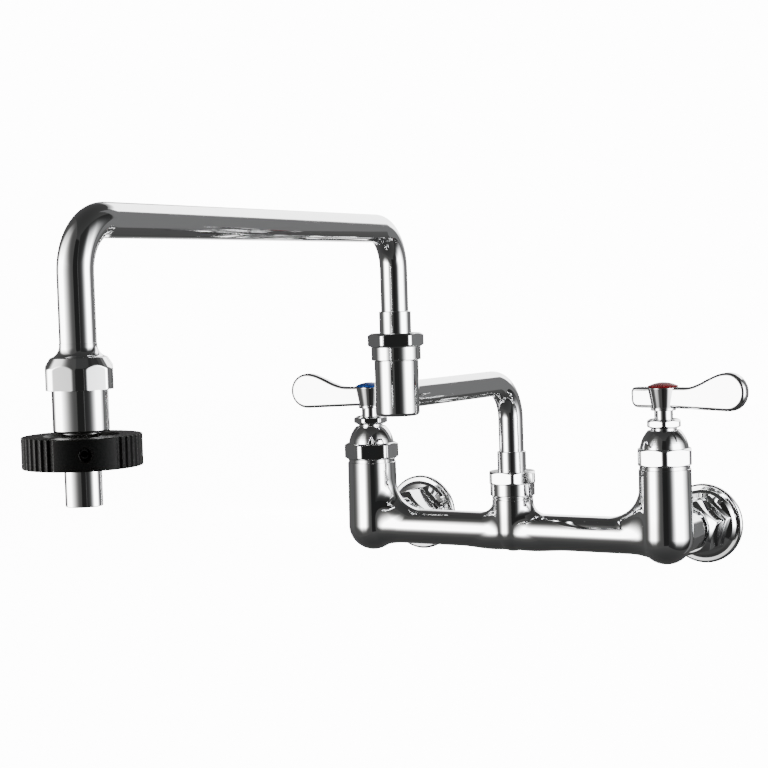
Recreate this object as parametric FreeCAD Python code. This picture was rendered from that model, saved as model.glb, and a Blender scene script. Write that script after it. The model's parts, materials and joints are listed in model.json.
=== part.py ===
import FreeCAD, Part
import math
import os

# Wall-mounted mixing faucet with a double-jointed swinging spout and a hand wheel at its outlet.
# Millimetres. The origin lies on the wall, midway between the two inlets and at their height.
# +X is to the right seen from the front, +Y points into the wall, +Z is up.

# ---- Wall connection and mixing body ----
INLET_CENTRES = 203.2          # eight inches between the two supply pipes
WALL_TO_VALVES = 67.5          # from the wall to the valve axes
FLANGE_RADIUS = 25.1
FLANGE_RIM = 3.4               # thickness of the rolled rim
FLANGE_DOME = 6.2              # from the wall to the foot of the flange's hexagon
FLANGE_HEX_FLATS = 33.0
FLANGE_HEX_CORNERS = 19.4      # radius to which the hexagon's corners are turned down
FLANGE_HEX_LENGTH = 6.5
FLANGE_ROLL = 2.0              # rounding of the rim
FLANGE_STEP = 3.6              # from the rim in to the foot of the dome
FLANGE_SHOULDER = 8.6          # from the rim in to the flat on top
FLANGE_BULGE = 0.7             # how far the dome's side bows out
SUPPLY_THREAD_RADIUS = 10.48   # half-inch pipe thread
SUPPLY_THREAD_DEPTH = 13.0
NOSE_RADIUS = 13.1             # male thread that takes the union nut
NOSE_LENGTH = 11.3
UNION_WASHER_THICKNESS = 2.0
TAILPIECE_RADIUS = 10.9
TAILPIECE_COLLAR_RADIUS = 12.5
TAILPIECE_COLLAR_LENGTH = 3.5
TAILPIECE_SHOWING = 4.0        # bare stretch between the union nut and the body
TAILPIECE_INSERTION = 13.0     # length screwed into the body
UNION_NUT_FLATS = 31.75
UNION_NUT_CORNERS = 18.1
UNION_NUT_LENGTH = 19.0
UNION_NUT_LIP = 2.7
UNION_NUT_FACE_RADIUS = 14.5   # its front end is turned down to this radius
UNION_NUT_TAPER = 4.5
WATERWAY_RADIUS = 7.0
HEX_TILT = 14.0                # how far the wall hexagons stand from corner-level, degrees

BAR_RADIUS = 11.2              # crossbar between the valves
BARREL_RADIUS = 16.3           # valve barrel at the height of the crossbar
BARREL_TOP_RADIUS = 15.7
BARREL_HEIGHT = 43.5           # from the inlet height to the barrel's rim
BARREL_RIM_HEIGHT = 2.2        # narrow turned band under the bonnet
BARREL_RIM_STEP = 0.5
STUB_RADIUS = 13.4             # rear branch that takes the tailpiece
STUB_EDGE = 1.5
STUB_FLARE = 2.0               # how much wider the branch is at its root
STUB_FLARE_LENGTH = 8.0
STUB_ROOT_OVERLAP = 1.0        # how far the flare runs into the barrel
RISER_RADIUS = 12.9
RISER_HEIGHT = 22.0
RISER_GROOVE_DEPTH = 0.8
RISER_GROOVE_HEIGHT = 0.7
RISER_GROOVE_DROP = 1.2        # from the riser's face down to the groove
VALVE_FILLET_TOP = 20.0        # sweep of the casting from the crossbar up to the barrel
VALVE_FILLET_BOTTOM = 16.0
RISER_FILLET_TOP = 9.0
RISER_FILLET_BOTTOM = 36.0     # broad soft bulge under the riser
DUCT_RADIUS = 4.5              # sloping duct for the mixed water

# ---- Valve ----
BONNET_THREAD_RADIUS = 12.4
BONNET_THREAD_LENGTH = 12.0
BONNET_HEX_FLATS = 32.0
BONNET_HEX_CORNERS = 17.6
BONNET_HEX_HEIGHT = 10.5
BONNET_DOME_HEIGHT = 10.7
BONNET_DOME_FOOT_RADIUS = 14.7
BONNET_DOME_TOP_RADIUS = 9.6
BONNET_DOME_WAIST = 0.89       # width of the dome at its middle, as a share of its foot
BONNET_DOME_MIDDLE = 0.52      # height of that middle, as a share of the dome's
BONNET_ROOF_DROP = 3.0         # from the hexagon's top down to the roof of the hollow
LEFT_BONNET_CORNER = -27.0     # direction of one corner of each bonnet, degrees
RIGHT_BONNET_CORNER = -68.5
PACKING_THREAD_RADIUS = 7.8
PACKING_THREAD_LENGTH = 5.0
PACKING_RING_WALL = 1.3
PACKING_RING_HEIGHT = 3.2
PACKING_NUT_FLATS = 20.0
PACKING_NUT_CORNERS = 10.9
PACKING_NUT_FACE_RADIUS = 8.6  # both ends are turned down to this radius
PACKING_NUT_TAPER = 1.4
PACKING_NUT_HEIGHT = 5.4
PACKING_NUT_LIFT = 1.3         # gap between the dome and the packing nut
STEM_RADIUS = 5.6
STEM_SHOWING = 5.1             # bare stem between the packing nut and the handle
STEM_HEAD_RADIUS = 4.2
STEM_HEAD_HEIGHT = 7.5
STEM_COLLAR_RADIUS = 8.2
STEM_COLLAR_HEIGHT = 5.0
STEM_WAIST_RADIUS = 5.0
CARTRIDGE_RADIUS = 10.5
CARTRIDGE_BORE_RADIUS = 8.7
CARTRIDGE_WINDOW_RADIUS = 3.0
SEAT_HEIGHT = 12.0             # valve seat above the inlet height
SEAT_HOLE_RADIUS = 5.0
SEAT_SEAL_RADIUS = 8.4
SEAT_SEAL_HEIGHT = 3.4
SEAT_SEAL_PROUD = 1.0          # how far the seal stands out below the cartridge
DISC_THICKNESS = 3.5
DISC_RADIUS = 8.3
DISC_PORT_RADIUS = 2.2
DISC_PORT_OFFSET = 4.6
STEM_FOOT_HEIGHT = 4.4
STEM_SLOT_WIDTH = 5.0
O_RING_SECTION = 0.8           # radius of the stem O-ring's section

# ---- Lever handle ----
HUB_HEIGHT = 14.1
HUB_TOP_RADIUS = 9.2
HUB_BOTTOM_RADIUS = 7.0
HUB_COLLAR_RADIUS = 7.5
HUB_COLLAR_HEIGHT = 1.7
HUB_EDGE = 0.8
LEVER_REACH = 55.2             # from the stem axis to the tip
LEVER_TAIL = 20.5              # from the stem axis to the short end
LEVER_THICKNESS = 7.0
TAIL_TOP_ROUND = 2.4           # rounding of the short end's two corners
TAIL_BOTTOM_ROUND = 4.5
LEVER_EDGE = 2.2               # rounding of the blade's edges
LEVER_FOOT = 1.4               # lower edge of the blade above the hub's lower end
LEVER_NECK_HEIGHT = 12.6
PADDLE_HEIGHT = 22.9
PADDLE_DROP = 1.3              # how far the paddle hangs below the neck
PADDLE_RISE_START = 15.0       # where the upper edge begins to sweep up
LEVER_HEADING = 8.0            # closed levers stand this far forward of the valve line, degrees
BUTTON_RADIUS = 8.1
BUTTON_RISE = 2.8
BUTTON_SEAT_DEPTH = 4.2
SCREW_RADIUS = 1.9
SCREW_HEAD_RADIUS = 3.6
SCREW_HEAD_HEIGHT = 2.2
SCREW_HEAD_EDGE = 1.2          # straight side of the screw's head
SCREW_SLOT_WIDTH = 1.0
SCREW_SLOT_DEPTH = 0.9
SCREW_LENGTH = 10.0

# ---- Swinging arms ----
TUBE_RADIUS = 7.75             # about five-eighths outside
TUBE_WALL = 1.0
LOWER_REACH = 128.0
UPPER_REACH = 307.5
LOWER_AXIS_HEIGHT = 93.6       # height of the lower arm's level run
UPPER_AXIS_HEIGHT = 187.8
LOWER_BEND = 23.0
UPPER_BEND = 22.5
LOWER_HEADING = -3.8           # turned from straight out, positive to the right, degrees
UPPER_HEADING = 4.3
SWIVEL_NUT_FLATS = 28.6
SWIVEL_NUT_CORNERS = 15.9
SWIVEL_NUT_SKIRT_RADIUS = 14.0
SWIVEL_NUT_SKIRT = 7.4
SWIVEL_NUT_HEX = 7.9
SWIVEL_NUT_ROOF = 4.0
SWIVEL_NUT_EDGE = 0.6
SWIVEL_THREAD_RADIUS = 12.0
SWIVEL_THREAD_LENGTH = 7.0
FERRULE_RADIUS = 9.0
FERRULE_ABOVE_NUT = 12.3
FERRULE_INSERTION = 14.0       # spigot length below the nut's lower edge
FERRULE_BORE_RADIUS = 6.0
FERRULE_SOCKET_DEPTH = 10.0
FERRULE_EDGE = 0.5
SNAP_RING_RADIUS = 11.6
SNAP_RING_HEIGHT = 3.5
SNAP_RING_GROOVE = 0.8
SNAP_RING_MOUTH = 4.0
SPIGOT_O_RING_SECTION = 0.7
ELBOW_RADIUS = 12.5
ELBOW_BOTTOM_HEIGHT = 82.3
ELBOW_HEIGHT = 31.3
ELBOW_FLOOR = 3.0
ELBOW_EDGE = 2.0
ELBOW_NUT_GAP = 0.3
RISER_NUT_GAP = 0.5
RISER_NUT_CORNER = -64.0       # direction of one corner of each swivel nut, degrees
ELBOW_NUT_CORNER = -30.4

# ---- Outlet valve ----
ADAPTOR_TOP_HEIGHT = 136.6
ADAPTOR_FLARE = 5.8
ADAPTOR_LIP = 0.15             # step from the tube to the thin end of the flare
ADAPTOR_SHOULDER_RADIUS = 11.9
ADAPTOR_HEX_FLATS = 27.8
ADAPTOR_HEX_CORNERS = 14.7
ADAPTOR_HEX_TAPER = 4.5
ADAPTOR_HEX_HEIGHT = 13.3
ADAPTOR_HEX_CORNER = -51.0
ADAPTOR_SOCKET_DEPTH = 10.0
VALVE_SEAT_WEB = 2.5
VALVE_SEAT_RADIUS = 5.0
VALVE_SEAT_LIP = 2.0
VALVE_SEAT_LIP_WALL = 1.2
OUTLET_BARREL_RADIUS = 11.7
OUTLET_BARREL_LENGTH = 17.6
OUTLET_BARREL_EDGE = 1.0
OUTLET_BARREL_THREAD_RADIUS = 10.4
OUTLET_BARREL_THREAD_LENGTH = 5.8
OUTLET_CHAMBER_RADIUS = 8.9
OUTLET_TUBE_RADIUS = 7.8       # plain nozzle below the wheel
OUTLET_THREAD_RADIUS = 8.2     # threaded stretch in the wheel and barrel
OUTLET_TUBE_BORE = 6.3
OUTLET_TUBE_LENGTH = 44.5
OUTLET_TUBE_EDGE = 0.4
PLUG_DISC_RADIUS = 6.6
PLUG_DISC_HEIGHT = 3.0
PLUG_LEG_HEIGHT = 3.0
PLUG_LEG_WIDTH = 4.0
PLUG_LEG_COUNT = 3
PLUG_LEG_INNER_RADIUS = 5.6
PLUG_SEAL_HEIGHT = 2.2
OUTLET_TRAVEL = 2.0            # thread pitch: the wheel opens the outlet in one turn
WHEEL_RADIUS = 25.0
WHEEL_HEIGHT = 13.2
WHEEL_CHAMFER = 0.5
WHEEL_RIBS = 48                # ribs round the full circle, some left out at the set screw
WHEEL_GROOVE_RADIUS = 1.3
WHEEL_GROOVE_DEPTH = 0.8
WHEEL_PLAIN_HALF_ANGLE = 30.0
WHEEL_DISH_RADIUS = 14.5
WHEEL_DISH_DEPTH = 1.2
WHEEL_BARREL_GAP = 1.3
SET_SCREW_DIRECTION = -47.8
SET_SCREW_RADIUS = 2.2
SET_SCREW_LENGTH = 9.0
SET_SCREW_SOCKET = 2.5
SET_SCREW_SOCKET_DEPTH = 2.0

# ---- Fits ----
RUNNING = 0.1                  # radial clearance of a turning or sliding fit
SEATED = 0.05                  # radial clearance of a fixed fit
FREE = 0.3                     # gap between pieces that move past each other
THREAD_CHAMFER = 0.8
OVERLAP = 1.0                  # how far joined solids run into each other
LINE = 1e-3                    # tolerance when edges are looked up by their place
ARC_SHARE = 1 - math.sqrt(0.5)  # a round corner's middle lies this share of its radius in

Vector = FreeCAD.Vector
ORIGIN = Vector(0, 0, 0)
UP = Vector(0, 0, 1)

# ---- Places that follow from the sizes above ----
VALVE_X = INLET_CENTRES / 2
VALVE_Y = -WALL_TO_VALVES
BONNET_HEX_TOP = BARREL_HEIGHT + BONNET_HEX_HEIGHT
DOME_TOP = BONNET_HEX_TOP + BONNET_DOME_HEIGHT
PACKING_NUT_BOTTOM = DOME_TOP + PACKING_NUT_LIFT
PACKING_NUT_TOP = PACKING_NUT_BOTTOM + PACKING_NUT_HEIGHT
HUB_BOTTOM = PACKING_NUT_TOP + STEM_SHOWING
HUB_TOP = HUB_BOTTOM + HUB_HEIGHT
NOSE_FOOT = FLANGE_DOME + FLANGE_HEX_LENGTH
NOSE_FACE = NOSE_FOOT + NOSE_LENGTH
COLLAR_BACK = NOSE_FACE + UNION_WASHER_THICKNESS
COLLAR_FRONT = COLLAR_BACK + TAILPIECE_COLLAR_LENGTH
UNION_NUT_FRONT = COLLAR_FRONT + RUNNING + UNION_NUT_LIP
STUB_FACE = UNION_NUT_FRONT + TAILPIECE_SHOWING
CARTRIDGE_BOTTOM = SEAT_HEIGHT + SEAT_SEAL_PROUD
SEAT_SEAL_TOP = SEAT_HEIGHT + SEAT_SEAL_HEIGHT
FIXED_DISC_TOP = SEAT_SEAL_TOP + DISC_THICKNESS
MOVING_DISC_BOTTOM = FIXED_DISC_TOP + RUNNING
MOVING_DISC_TOP = MOVING_DISC_BOTTOM + DISC_THICKNESS
BONNET_ROOF = BONNET_HEX_TOP - BONNET_ROOF_DROP
NECK_TOP = DOME_TOP + PACKING_THREAD_LENGTH
STEM_COLLAR_TOP = BONNET_ROOF - FREE
RISER_NUT_BOTTOM = RISER_HEIGHT + RISER_NUT_GAP
ELBOW_TOP = ELBOW_BOTTOM_HEIGHT + ELBOW_HEIGHT
ELBOW_NUT_BOTTOM = ELBOW_TOP + ELBOW_NUT_GAP
SWIVEL_NUT_HEIGHT = SWIVEL_NUT_SKIRT + SWIVEL_NUT_HEX
SHOULDER_HEIGHT = ADAPTOR_TOP_HEIGHT - ADAPTOR_FLARE
ADAPTOR_BOTTOM = SHOULDER_HEIGHT - ADAPTOR_HEX_HEIGHT
OUTLET_BARREL_BOTTOM = ADAPTOR_BOTTOM - OUTLET_BARREL_LENGTH
WHEEL_TOP = OUTLET_BARREL_BOTTOM - WHEEL_BARREL_GAP
WHEEL_BOTTOM = WHEEL_TOP - WHEEL_HEIGHT
VALVE_SEAT_TOP = ADAPTOR_TOP_HEIGHT - ADAPTOR_SOCKET_DEPTH
VALVE_SEAT_BOTTOM = VALVE_SEAT_TOP - VALVE_SEAT_WEB
PLUG_SEAL_TOP = VALVE_SEAT_BOTTOM - VALVE_SEAT_LIP - FREE
PLUG_TOP = PLUG_SEAL_TOP - PLUG_SEAL_HEIGHT
PLUG_BOTTOM = PLUG_TOP - PLUG_DISC_HEIGHT - PLUG_LEG_HEIGHT
OUTLET_GUIDE_TOP = PLUG_BOTTOM - OUTLET_TRAVEL - FREE
OUTLET_SEAL = (OUTLET_BARREL_BOTTOM + OUTLET_GUIDE_TOP) / 2
OUTLET_TUBE_TOP = PLUG_BOTTOM - RUNNING
OUTLET_TUBE_BOTTOM = OUTLET_TUBE_TOP - OUTLET_TUBE_LENGTH
WHEEL_MIDDLE = (WHEEL_BOTTOM + WHEEL_TOP) / 2


# ---- Shape helpers ----
def turned(path):
    """Solid turned about Z. The path is a closed outline of (radius, height) corners, and a corner
    written as two points is the end of an arc that passes through the first of them."""
    points = [path[0]]
    edges = []
    for corner in list(path[1:]) + [path[0]]:
        start = Vector(points[-1][0], 0, points[-1][1])
        if isinstance(corner[0], tuple):
            middle = Vector(corner[0][0], 0, corner[0][1])
            end = Vector(corner[1][0], 0, corner[1][1])
            edges.append(Part.Arc(start, middle, end).toShape())
            points.append(corner[1])
        else:
            end = Vector(corner[0], 0, corner[1])
            edges.append(Part.LineSegment(start, end).toShape())
            points.append(corner)
    return Part.Face(Part.Wire(edges)).revolve(ORIGIN, UP, 360)


def rod(radius, low, high):
    """Plain cylinder about Z between two heights."""
    return Part.makeCylinder(radius, high - low, Vector(0, 0, low), UP)


def ring(outer, inner, low, high):
    """Washer or sleeve about Z."""
    return rod(outer, low, high).cut(rod(inner, low, high))


def hex_bar(flats, low, high, corner):
    """Hexagonal bar about Z, with one corner in the given direction in degrees."""
    radius = flats / math.sqrt(3)
    turns = [math.radians(corner + 60 * k) for k in range(7)]
    corners = [Vector(radius * math.cos(a), radius * math.sin(a), low) for a in turns]
    return Part.Face(Part.makePolygon(corners)).extrude(Vector(0, 0, high - low))


def turned_hex(flats, corners, low, high, corner, foot=None, crown=None):
    """Hexagon whose corners are turned down to a radius. Foot and crown are the face radius and the
    height of the taper at each end, by default a 30 degree chamfer that meets the flats."""
    chamfer = (flats / 2, (corners - flats / 2) * math.tan(math.radians(30)))
    foot_radius, foot_height = foot or chamfer
    crown_radius, crown_height = crown or chamfer
    path = [(0, low), (foot_radius, low)]
    if foot_height:
        path.append((corners, low + foot_height))
    path += [(corners, high - crown_height), (crown_radius, high), (0, high)]
    return hex_bar(flats, low, high, corner).common(turned(path))


def cap(radius, foot, rise):
    """Arc of a round cap from its edge to its top, as a corner for the turned outline."""
    sphere = (radius ** 2 + rise ** 2) / (2 * rise)
    half = radius / 2
    return (half, foot + rise - sphere + math.sqrt(sphere ** 2 - half ** 2)), (0, foot + rise)


def round_corner(start, end, centre):
    """Arc between two points of the XZ plane about a centre."""
    radius = (start - centre).Length
    middle = centre + (start + end - centre * 2).normalize() * radius
    return Part.Arc(start, middle, end).toShape()


def o_ring(radius, section, height):
    """Round-section ring about Z."""
    return Part.makeTorus(radius, section, Vector(0, 0, height), UP)


def moved(shape, x=0, y=0, z=0, turn=0):
    """Copy of a shape, turned about Z and then moved."""
    copy = shape.copy()
    copy.rotate(ORIGIN, UP, turn)
    copy.translate(Vector(x, y, z))
    return copy


def from_wall(shape, x):
    """Stand a piece turned about Z on the wall at x, so that its height points away from the wall."""
    copy = shape.copy()
    copy.rotate(ORIGIN, Vector(1, 0, 0), 90)
    copy.translate(Vector(x, 0, 0))
    return copy


def bent_tube(points, bend, radius):
    """Solid rod along straight runs joined by tangent arcs of one bend radius."""
    edges = []
    last = points[0]
    for before, corner, after in zip(points, points[1:], points[2:]):
        inward = (before - corner).normalize()
        outward = (after - corner).normalize()
        half = inward.getAngle(outward) / 2
        setback = bend / math.tan(half)
        start = corner + inward * setback
        end = corner + outward * setback
        bisector = (inward + outward).normalize()
        middle = corner + bisector * (bend / math.sin(half) - bend)
        edges.append(Part.LineSegment(last, start).toShape())
        edges.append(Part.Arc(start, middle, end).toShape())
        last = end
    edges.append(Part.LineSegment(last, points[-1]).toShape())
    direction = points[1] - points[0]
    circle = Part.Wire(Part.makeCircle(radius, points[0], direction))
    return Part.Wire(edges).makePipeShell([circle], True, False)


# ---- Mixing body ----
def casting_quarter():
    """Front right quarter of the casting: half the crossbar, a valve barrel and half the riser, with
    round undersides and swept fillets that grow from the underside to the top."""
    bar = Part.makeCylinder(BAR_RADIUS, VALVE_X, ORIGIN, Vector(1, 0, 0))
    diagonal = math.sqrt(0.5)
    low = BARREL_RADIUS * diagonal
    barrel = turned([(0, -BARREL_RADIUS), ((low, -low), (BARREL_RADIUS, 0)),
                     (BARREL_TOP_RADIUS, BARREL_HEIGHT), (0, BARREL_HEIGHT)])
    low = RISER_RADIUS * diagonal
    riser = turned([(0, -RISER_RADIUS), ((low, -low), (RISER_RADIUS, 0)),
                    (RISER_RADIUS, RISER_HEIGHT), (0, RISER_HEIGHT)])
    size = INLET_CENTRES
    quarter = Part.makeBox(size, size, size, Vector(0, -size, -size / 2))
    body = bar.fuse([moved(barrel, VALVE_X), riser]).removeSplitter().common(quarter)
    body = swept_fillet(body, VALVE_X / 2, VALVE_X, VALVE_FILLET_TOP, VALVE_FILLET_BOTTOM)
    body = swept_fillet(body, 0, VALVE_X / 2, RISER_FILLET_TOP, RISER_FILLET_BOTTOM)
    return body.common(quarter)


def swept_fillet(body, left, right, top, bottom):
    """Fillet where an upright meets the crossbar between two x places, from top to bottom radius."""
    seams = []
    for edge in body.Edges:
        if edge.Degenerated or isinstance(edge.Curve, Part.Line):
            continue
        middle = edge.valueAt((edge.FirstParameter + edge.LastParameter) / 2)
        on_bar = abs(math.hypot(middle.y, middle.z) - BAR_RADIUS) < LINE
        if on_bar and middle.y < -LINE and left < middle.x < right:
            seams.append(edge)
    seams.sort(key=lambda edge: -edge.CenterOfMass.z)
    first = seams[0]
    ahead = first.valueAt(first.FirstParameter).z > first.valueAt(first.LastParameter).z
    return body.makeFillet(top if ahead else bottom, bottom if ahead else top, seams)


def rear_stub():
    """Branch from a valve barrel towards the wall, flared at its root. Heights are from the wall."""
    root = WALL_TO_VALVES - BARREL_RADIUS
    inset = STUB_EDGE * ARC_SHARE
    flare_end = root + STUB_ROOT_OVERLAP
    flare_start = flare_end - STUB_FLARE_LENGTH
    flare_middle = (STUB_RADIUS + STUB_FLARE * ARC_SHARE, flare_end - STUB_FLARE_LENGTH * ARC_SHARE * 1.5)
    return turned([(0, STUB_FACE), (STUB_RADIUS - STUB_EDGE, STUB_FACE),
                   ((STUB_RADIUS - inset, STUB_FACE + inset), (STUB_RADIUS, STUB_FACE + STUB_EDGE)),
                   (STUB_RADIUS, flare_start), (flare_middle, (STUB_RADIUS + STUB_FLARE, flare_end)),
                   (STUB_RADIUS, WALL_TO_VALVES), (0, WALL_TO_VALVES)])


def valve_cavity():
    """Space inside a valve barrel: bonnet thread, cartridge bore and the hole through the seat."""
    thread_bottom = BARREL_HEIGHT - BONNET_THREAD_LENGTH - FREE
    thread = rod(BONNET_THREAD_RADIUS + SEATED, thread_bottom, BARREL_HEIGHT)
    bore = rod(CARTRIDGE_RADIUS + SEATED, SEAT_HEIGHT, BARREL_HEIGHT)
    return thread.fuse([bore, rod(SEAT_HOLE_RADIUS, 0, SEAT_HEIGHT)])


def mixed_water_duct():
    """Sloping duct from the right cartridge's side windows down into the crossbar's bore."""
    start = Vector(VALVE_X - STEM_COLLAR_RADIUS, 0, MOVING_DISC_TOP)
    end = Vector(VALVE_X - BARREL_RADIUS - CARTRIDGE_RADIUS, 0, WATERWAY_RADIUS / 2)
    return Part.makeCylinder(DUCT_RADIUS, (end - start).Length, start, end - start)


def mixing_body():
    """One casting: crossbar, two valve barrels, riser, rear stubs and the water passages."""
    right = casting_quarter()
    front = right.fuse(right.mirror(ORIGIN, Vector(1, 0, 0)))
    body = front.fuse(front.mirror(ORIGIN, Vector(0, 1, 0))).removeSplitter()
    body = moved(body, 0, VALVE_Y)
    body = body.fuse([from_wall(rear_stub(), -VALVE_X), from_wall(rear_stub(), VALVE_X)])
    thread_top = RISER_NUT_BOTTOM + SWIVEL_THREAD_LENGTH
    thread = rod(SWIVEL_THREAD_RADIUS, RISER_HEIGHT / 2, thread_top)
    body = body.fuse(moved(thread, 0, VALVE_Y))
    groove_top = RISER_HEIGHT - RISER_GROOVE_DROP
    groove_bottom = groove_top - RISER_GROOVE_HEIGHT
    groove = ring(RISER_RADIUS + OVERLAP, RISER_RADIUS - RISER_GROOVE_DEPTH, groove_bottom, groove_top)
    body = body.cut(moved(groove, 0, VALVE_Y))
    rim_bottom = BARREL_HEIGHT - BARREL_RIM_HEIGHT
    band = ring(BARREL_RADIUS + OVERLAP, BARREL_TOP_RADIUS - BARREL_RIM_STEP, rim_bottom, BARREL_HEIGHT)
    duct = mixed_water_duct()
    bore_end = VALVE_X - BARREL_RADIUS - CARTRIDGE_RADIUS
    bore_start = Vector(-bore_end, VALVE_Y, 0)
    bar_bore = Part.makeCylinder(WATERWAY_RADIUS, 2 * bore_end, bore_start, Vector(1, 0, 0))
    cuts = [bar_bore,
            moved(rod(FERRULE_RADIUS + RUNNING, WATERWAY_RADIUS - OVERLAP, thread_top), 0, VALVE_Y),
            moved(duct, 0, VALVE_Y),
            moved(duct.mirror(ORIGIN, Vector(1, 0, 0)), 0, VALVE_Y)]
    socket_end = STUB_FACE + TAILPIECE_INSERTION + FREE
    waterway_end = WALL_TO_VALVES + SEAT_HOLE_RADIUS + OVERLAP
    for x in (-VALVE_X, VALVE_X):
        cuts.append(moved(valve_cavity(), x, VALVE_Y))
        cuts.append(moved(band, x, VALVE_Y))
        cuts.append(from_wall(rod(TAILPIECE_RADIUS + SEATED, STUB_FACE, socket_end), x))
        cuts.append(from_wall(rod(WATERWAY_RADIUS, STUB_FACE, waterway_end), x))
    return body.cut(cuts)


# ---- Wall connection, one set per side; heights are from the wall ----
def wall_flange(corner):
    """Domed flange with its wrench hexagon, male nose and half-inch female thread."""
    rim = FLANGE_RADIUS
    inset = FLANGE_ROLL * ARC_SHARE
    side = (rim - (FLANGE_STEP + FLANGE_SHOULDER) / 2 + FLANGE_BULGE, (FLANGE_RIM + FLANGE_DOME) / 2)
    disc = turned([(0, 0), (rim, 0), (rim, FLANGE_RIM - FLANGE_ROLL),
                   ((rim - inset, FLANGE_RIM - inset), (rim - FLANGE_ROLL, FLANGE_RIM)),
                   (rim - FLANGE_STEP, FLANGE_RIM), (side, (rim - FLANGE_SHOULDER, FLANGE_DOME)),
                   (0, FLANGE_DOME)])
    hexagon = turned_hex(FLANGE_HEX_FLATS, FLANGE_HEX_CORNERS, FLANGE_DOME - OVERLAP, NOSE_FOOT, corner,
                         foot=(FLANGE_HEX_CORNERS, 0))
    nose_root = NOSE_FOOT - OVERLAP
    nose = turned([(0, nose_root), (NOSE_RADIUS, nose_root), (NOSE_RADIUS, NOSE_FACE - THREAD_CHAMFER),
                   (NOSE_RADIUS - THREAD_CHAMFER, NOSE_FACE), (0, NOSE_FACE)])
    supply = rod(SUPPLY_THREAD_RADIUS, 0, SUPPLY_THREAD_DEPTH)
    return disc.fuse([hexagon, nose]).cut([supply, rod(WATERWAY_RADIUS, 0, NOSE_FACE)])


def union_washer():
    """Flat rubber washer between the flange's nose and the tailpiece."""
    return ring(TAILPIECE_COLLAR_RADIUS, WATERWAY_RADIUS + 1, NOSE_FACE, COLLAR_BACK)


def tailpiece():
    """Collared nipple that the union nut draws against the flange, screwed into the body."""
    end = STUB_FACE + TAILPIECE_INSERTION
    return turned([(WATERWAY_RADIUS, COLLAR_BACK), (TAILPIECE_COLLAR_RADIUS, COLLAR_BACK),
                   (TAILPIECE_COLLAR_RADIUS, COLLAR_FRONT), (TAILPIECE_RADIUS, COLLAR_FRONT),
                   (TAILPIECE_RADIUS, end - THREAD_CHAMFER), (TAILPIECE_RADIUS - THREAD_CHAMFER, end),
                   (WATERWAY_RADIUS, end)])


def union_nut(corner):
    """Long hexagonal nut with a lip behind the tailpiece's collar."""
    back = UNION_NUT_FRONT - UNION_NUT_LENGTH
    body = turned_hex(UNION_NUT_FLATS, UNION_NUT_CORNERS, back, UNION_NUT_FRONT, corner,
                      crown=(UNION_NUT_FACE_RADIUS, UNION_NUT_TAPER))
    thread = rod(NOSE_RADIUS + SEATED, back, COLLAR_FRONT + RUNNING)
    return body.cut([thread, rod(TAILPIECE_RADIUS + RUNNING, back, UNION_NUT_FRONT)])


# ---- Valve, one set per side, about Z at the inlet height ----
def bonnet(corner):
    """Hexagon and dome that close the barrel, hollow for the cartridge and the stem."""
    thread_bottom = BARREL_HEIGHT - BONNET_THREAD_LENGTH
    thread = rod(BONNET_THREAD_RADIUS, thread_bottom, BARREL_HEIGHT + OVERLAP)
    hexagon = turned_hex(BONNET_HEX_FLATS, BONNET_HEX_CORNERS, BARREL_HEIGHT, BONNET_HEX_TOP, corner)
    middle = (BONNET_DOME_FOOT_RADIUS * BONNET_DOME_WAIST,
              BONNET_HEX_TOP + BONNET_DOME_HEIGHT * BONNET_DOME_MIDDLE)
    foot = BONNET_HEX_TOP - OVERLAP
    dome = turned([(0, foot), (BONNET_DOME_FOOT_RADIUS, foot),
                   (BONNET_DOME_FOOT_RADIUS, BONNET_HEX_TOP), (middle, (BONNET_DOME_TOP_RADIUS, DOME_TOP)),
                   (PACKING_THREAD_RADIUS, DOME_TOP), (PACKING_THREAD_RADIUS, NECK_TOP), (0, NECK_TOP)])
    bore = rod(STEM_RADIUS + RUNNING, BONNET_ROOF, NECK_TOP)
    cavity = rod(CARTRIDGE_RADIUS + SEATED, thread_bottom, BONNET_ROOF)
    pocket_radius = STEM_RADIUS + RUNNING + PACKING_RING_WALL + SEATED
    pocket = rod(pocket_radius, NECK_TOP - PACKING_RING_HEIGHT, NECK_TOP)
    return thread.fuse([hexagon, dome]).cut([bore, cavity, pocket])


def packing_ring():
    """Soft ring that seals the stem under the packing nut."""
    inner = STEM_RADIUS + RUNNING
    return ring(inner + PACKING_RING_WALL, inner, NECK_TOP - PACKING_RING_HEIGHT, NECK_TOP)


def packing_nut(corner):
    """Small nut with deep chamfers that presses on the packing ring."""
    taper = (PACKING_NUT_FACE_RADIUS, PACKING_NUT_TAPER)
    nut = turned_hex(PACKING_NUT_FLATS, PACKING_NUT_CORNERS, PACKING_NUT_BOTTOM, PACKING_NUT_TOP, corner,
                     foot=taper, crown=taper)
    thread = rod(PACKING_THREAD_RADIUS + SEATED, PACKING_NUT_BOTTOM, NECK_TOP + SEATED)
    return nut.cut([thread, rod(STEM_RADIUS + RUNNING, PACKING_NUT_BOTTOM, PACKING_NUT_TOP)])


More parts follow.
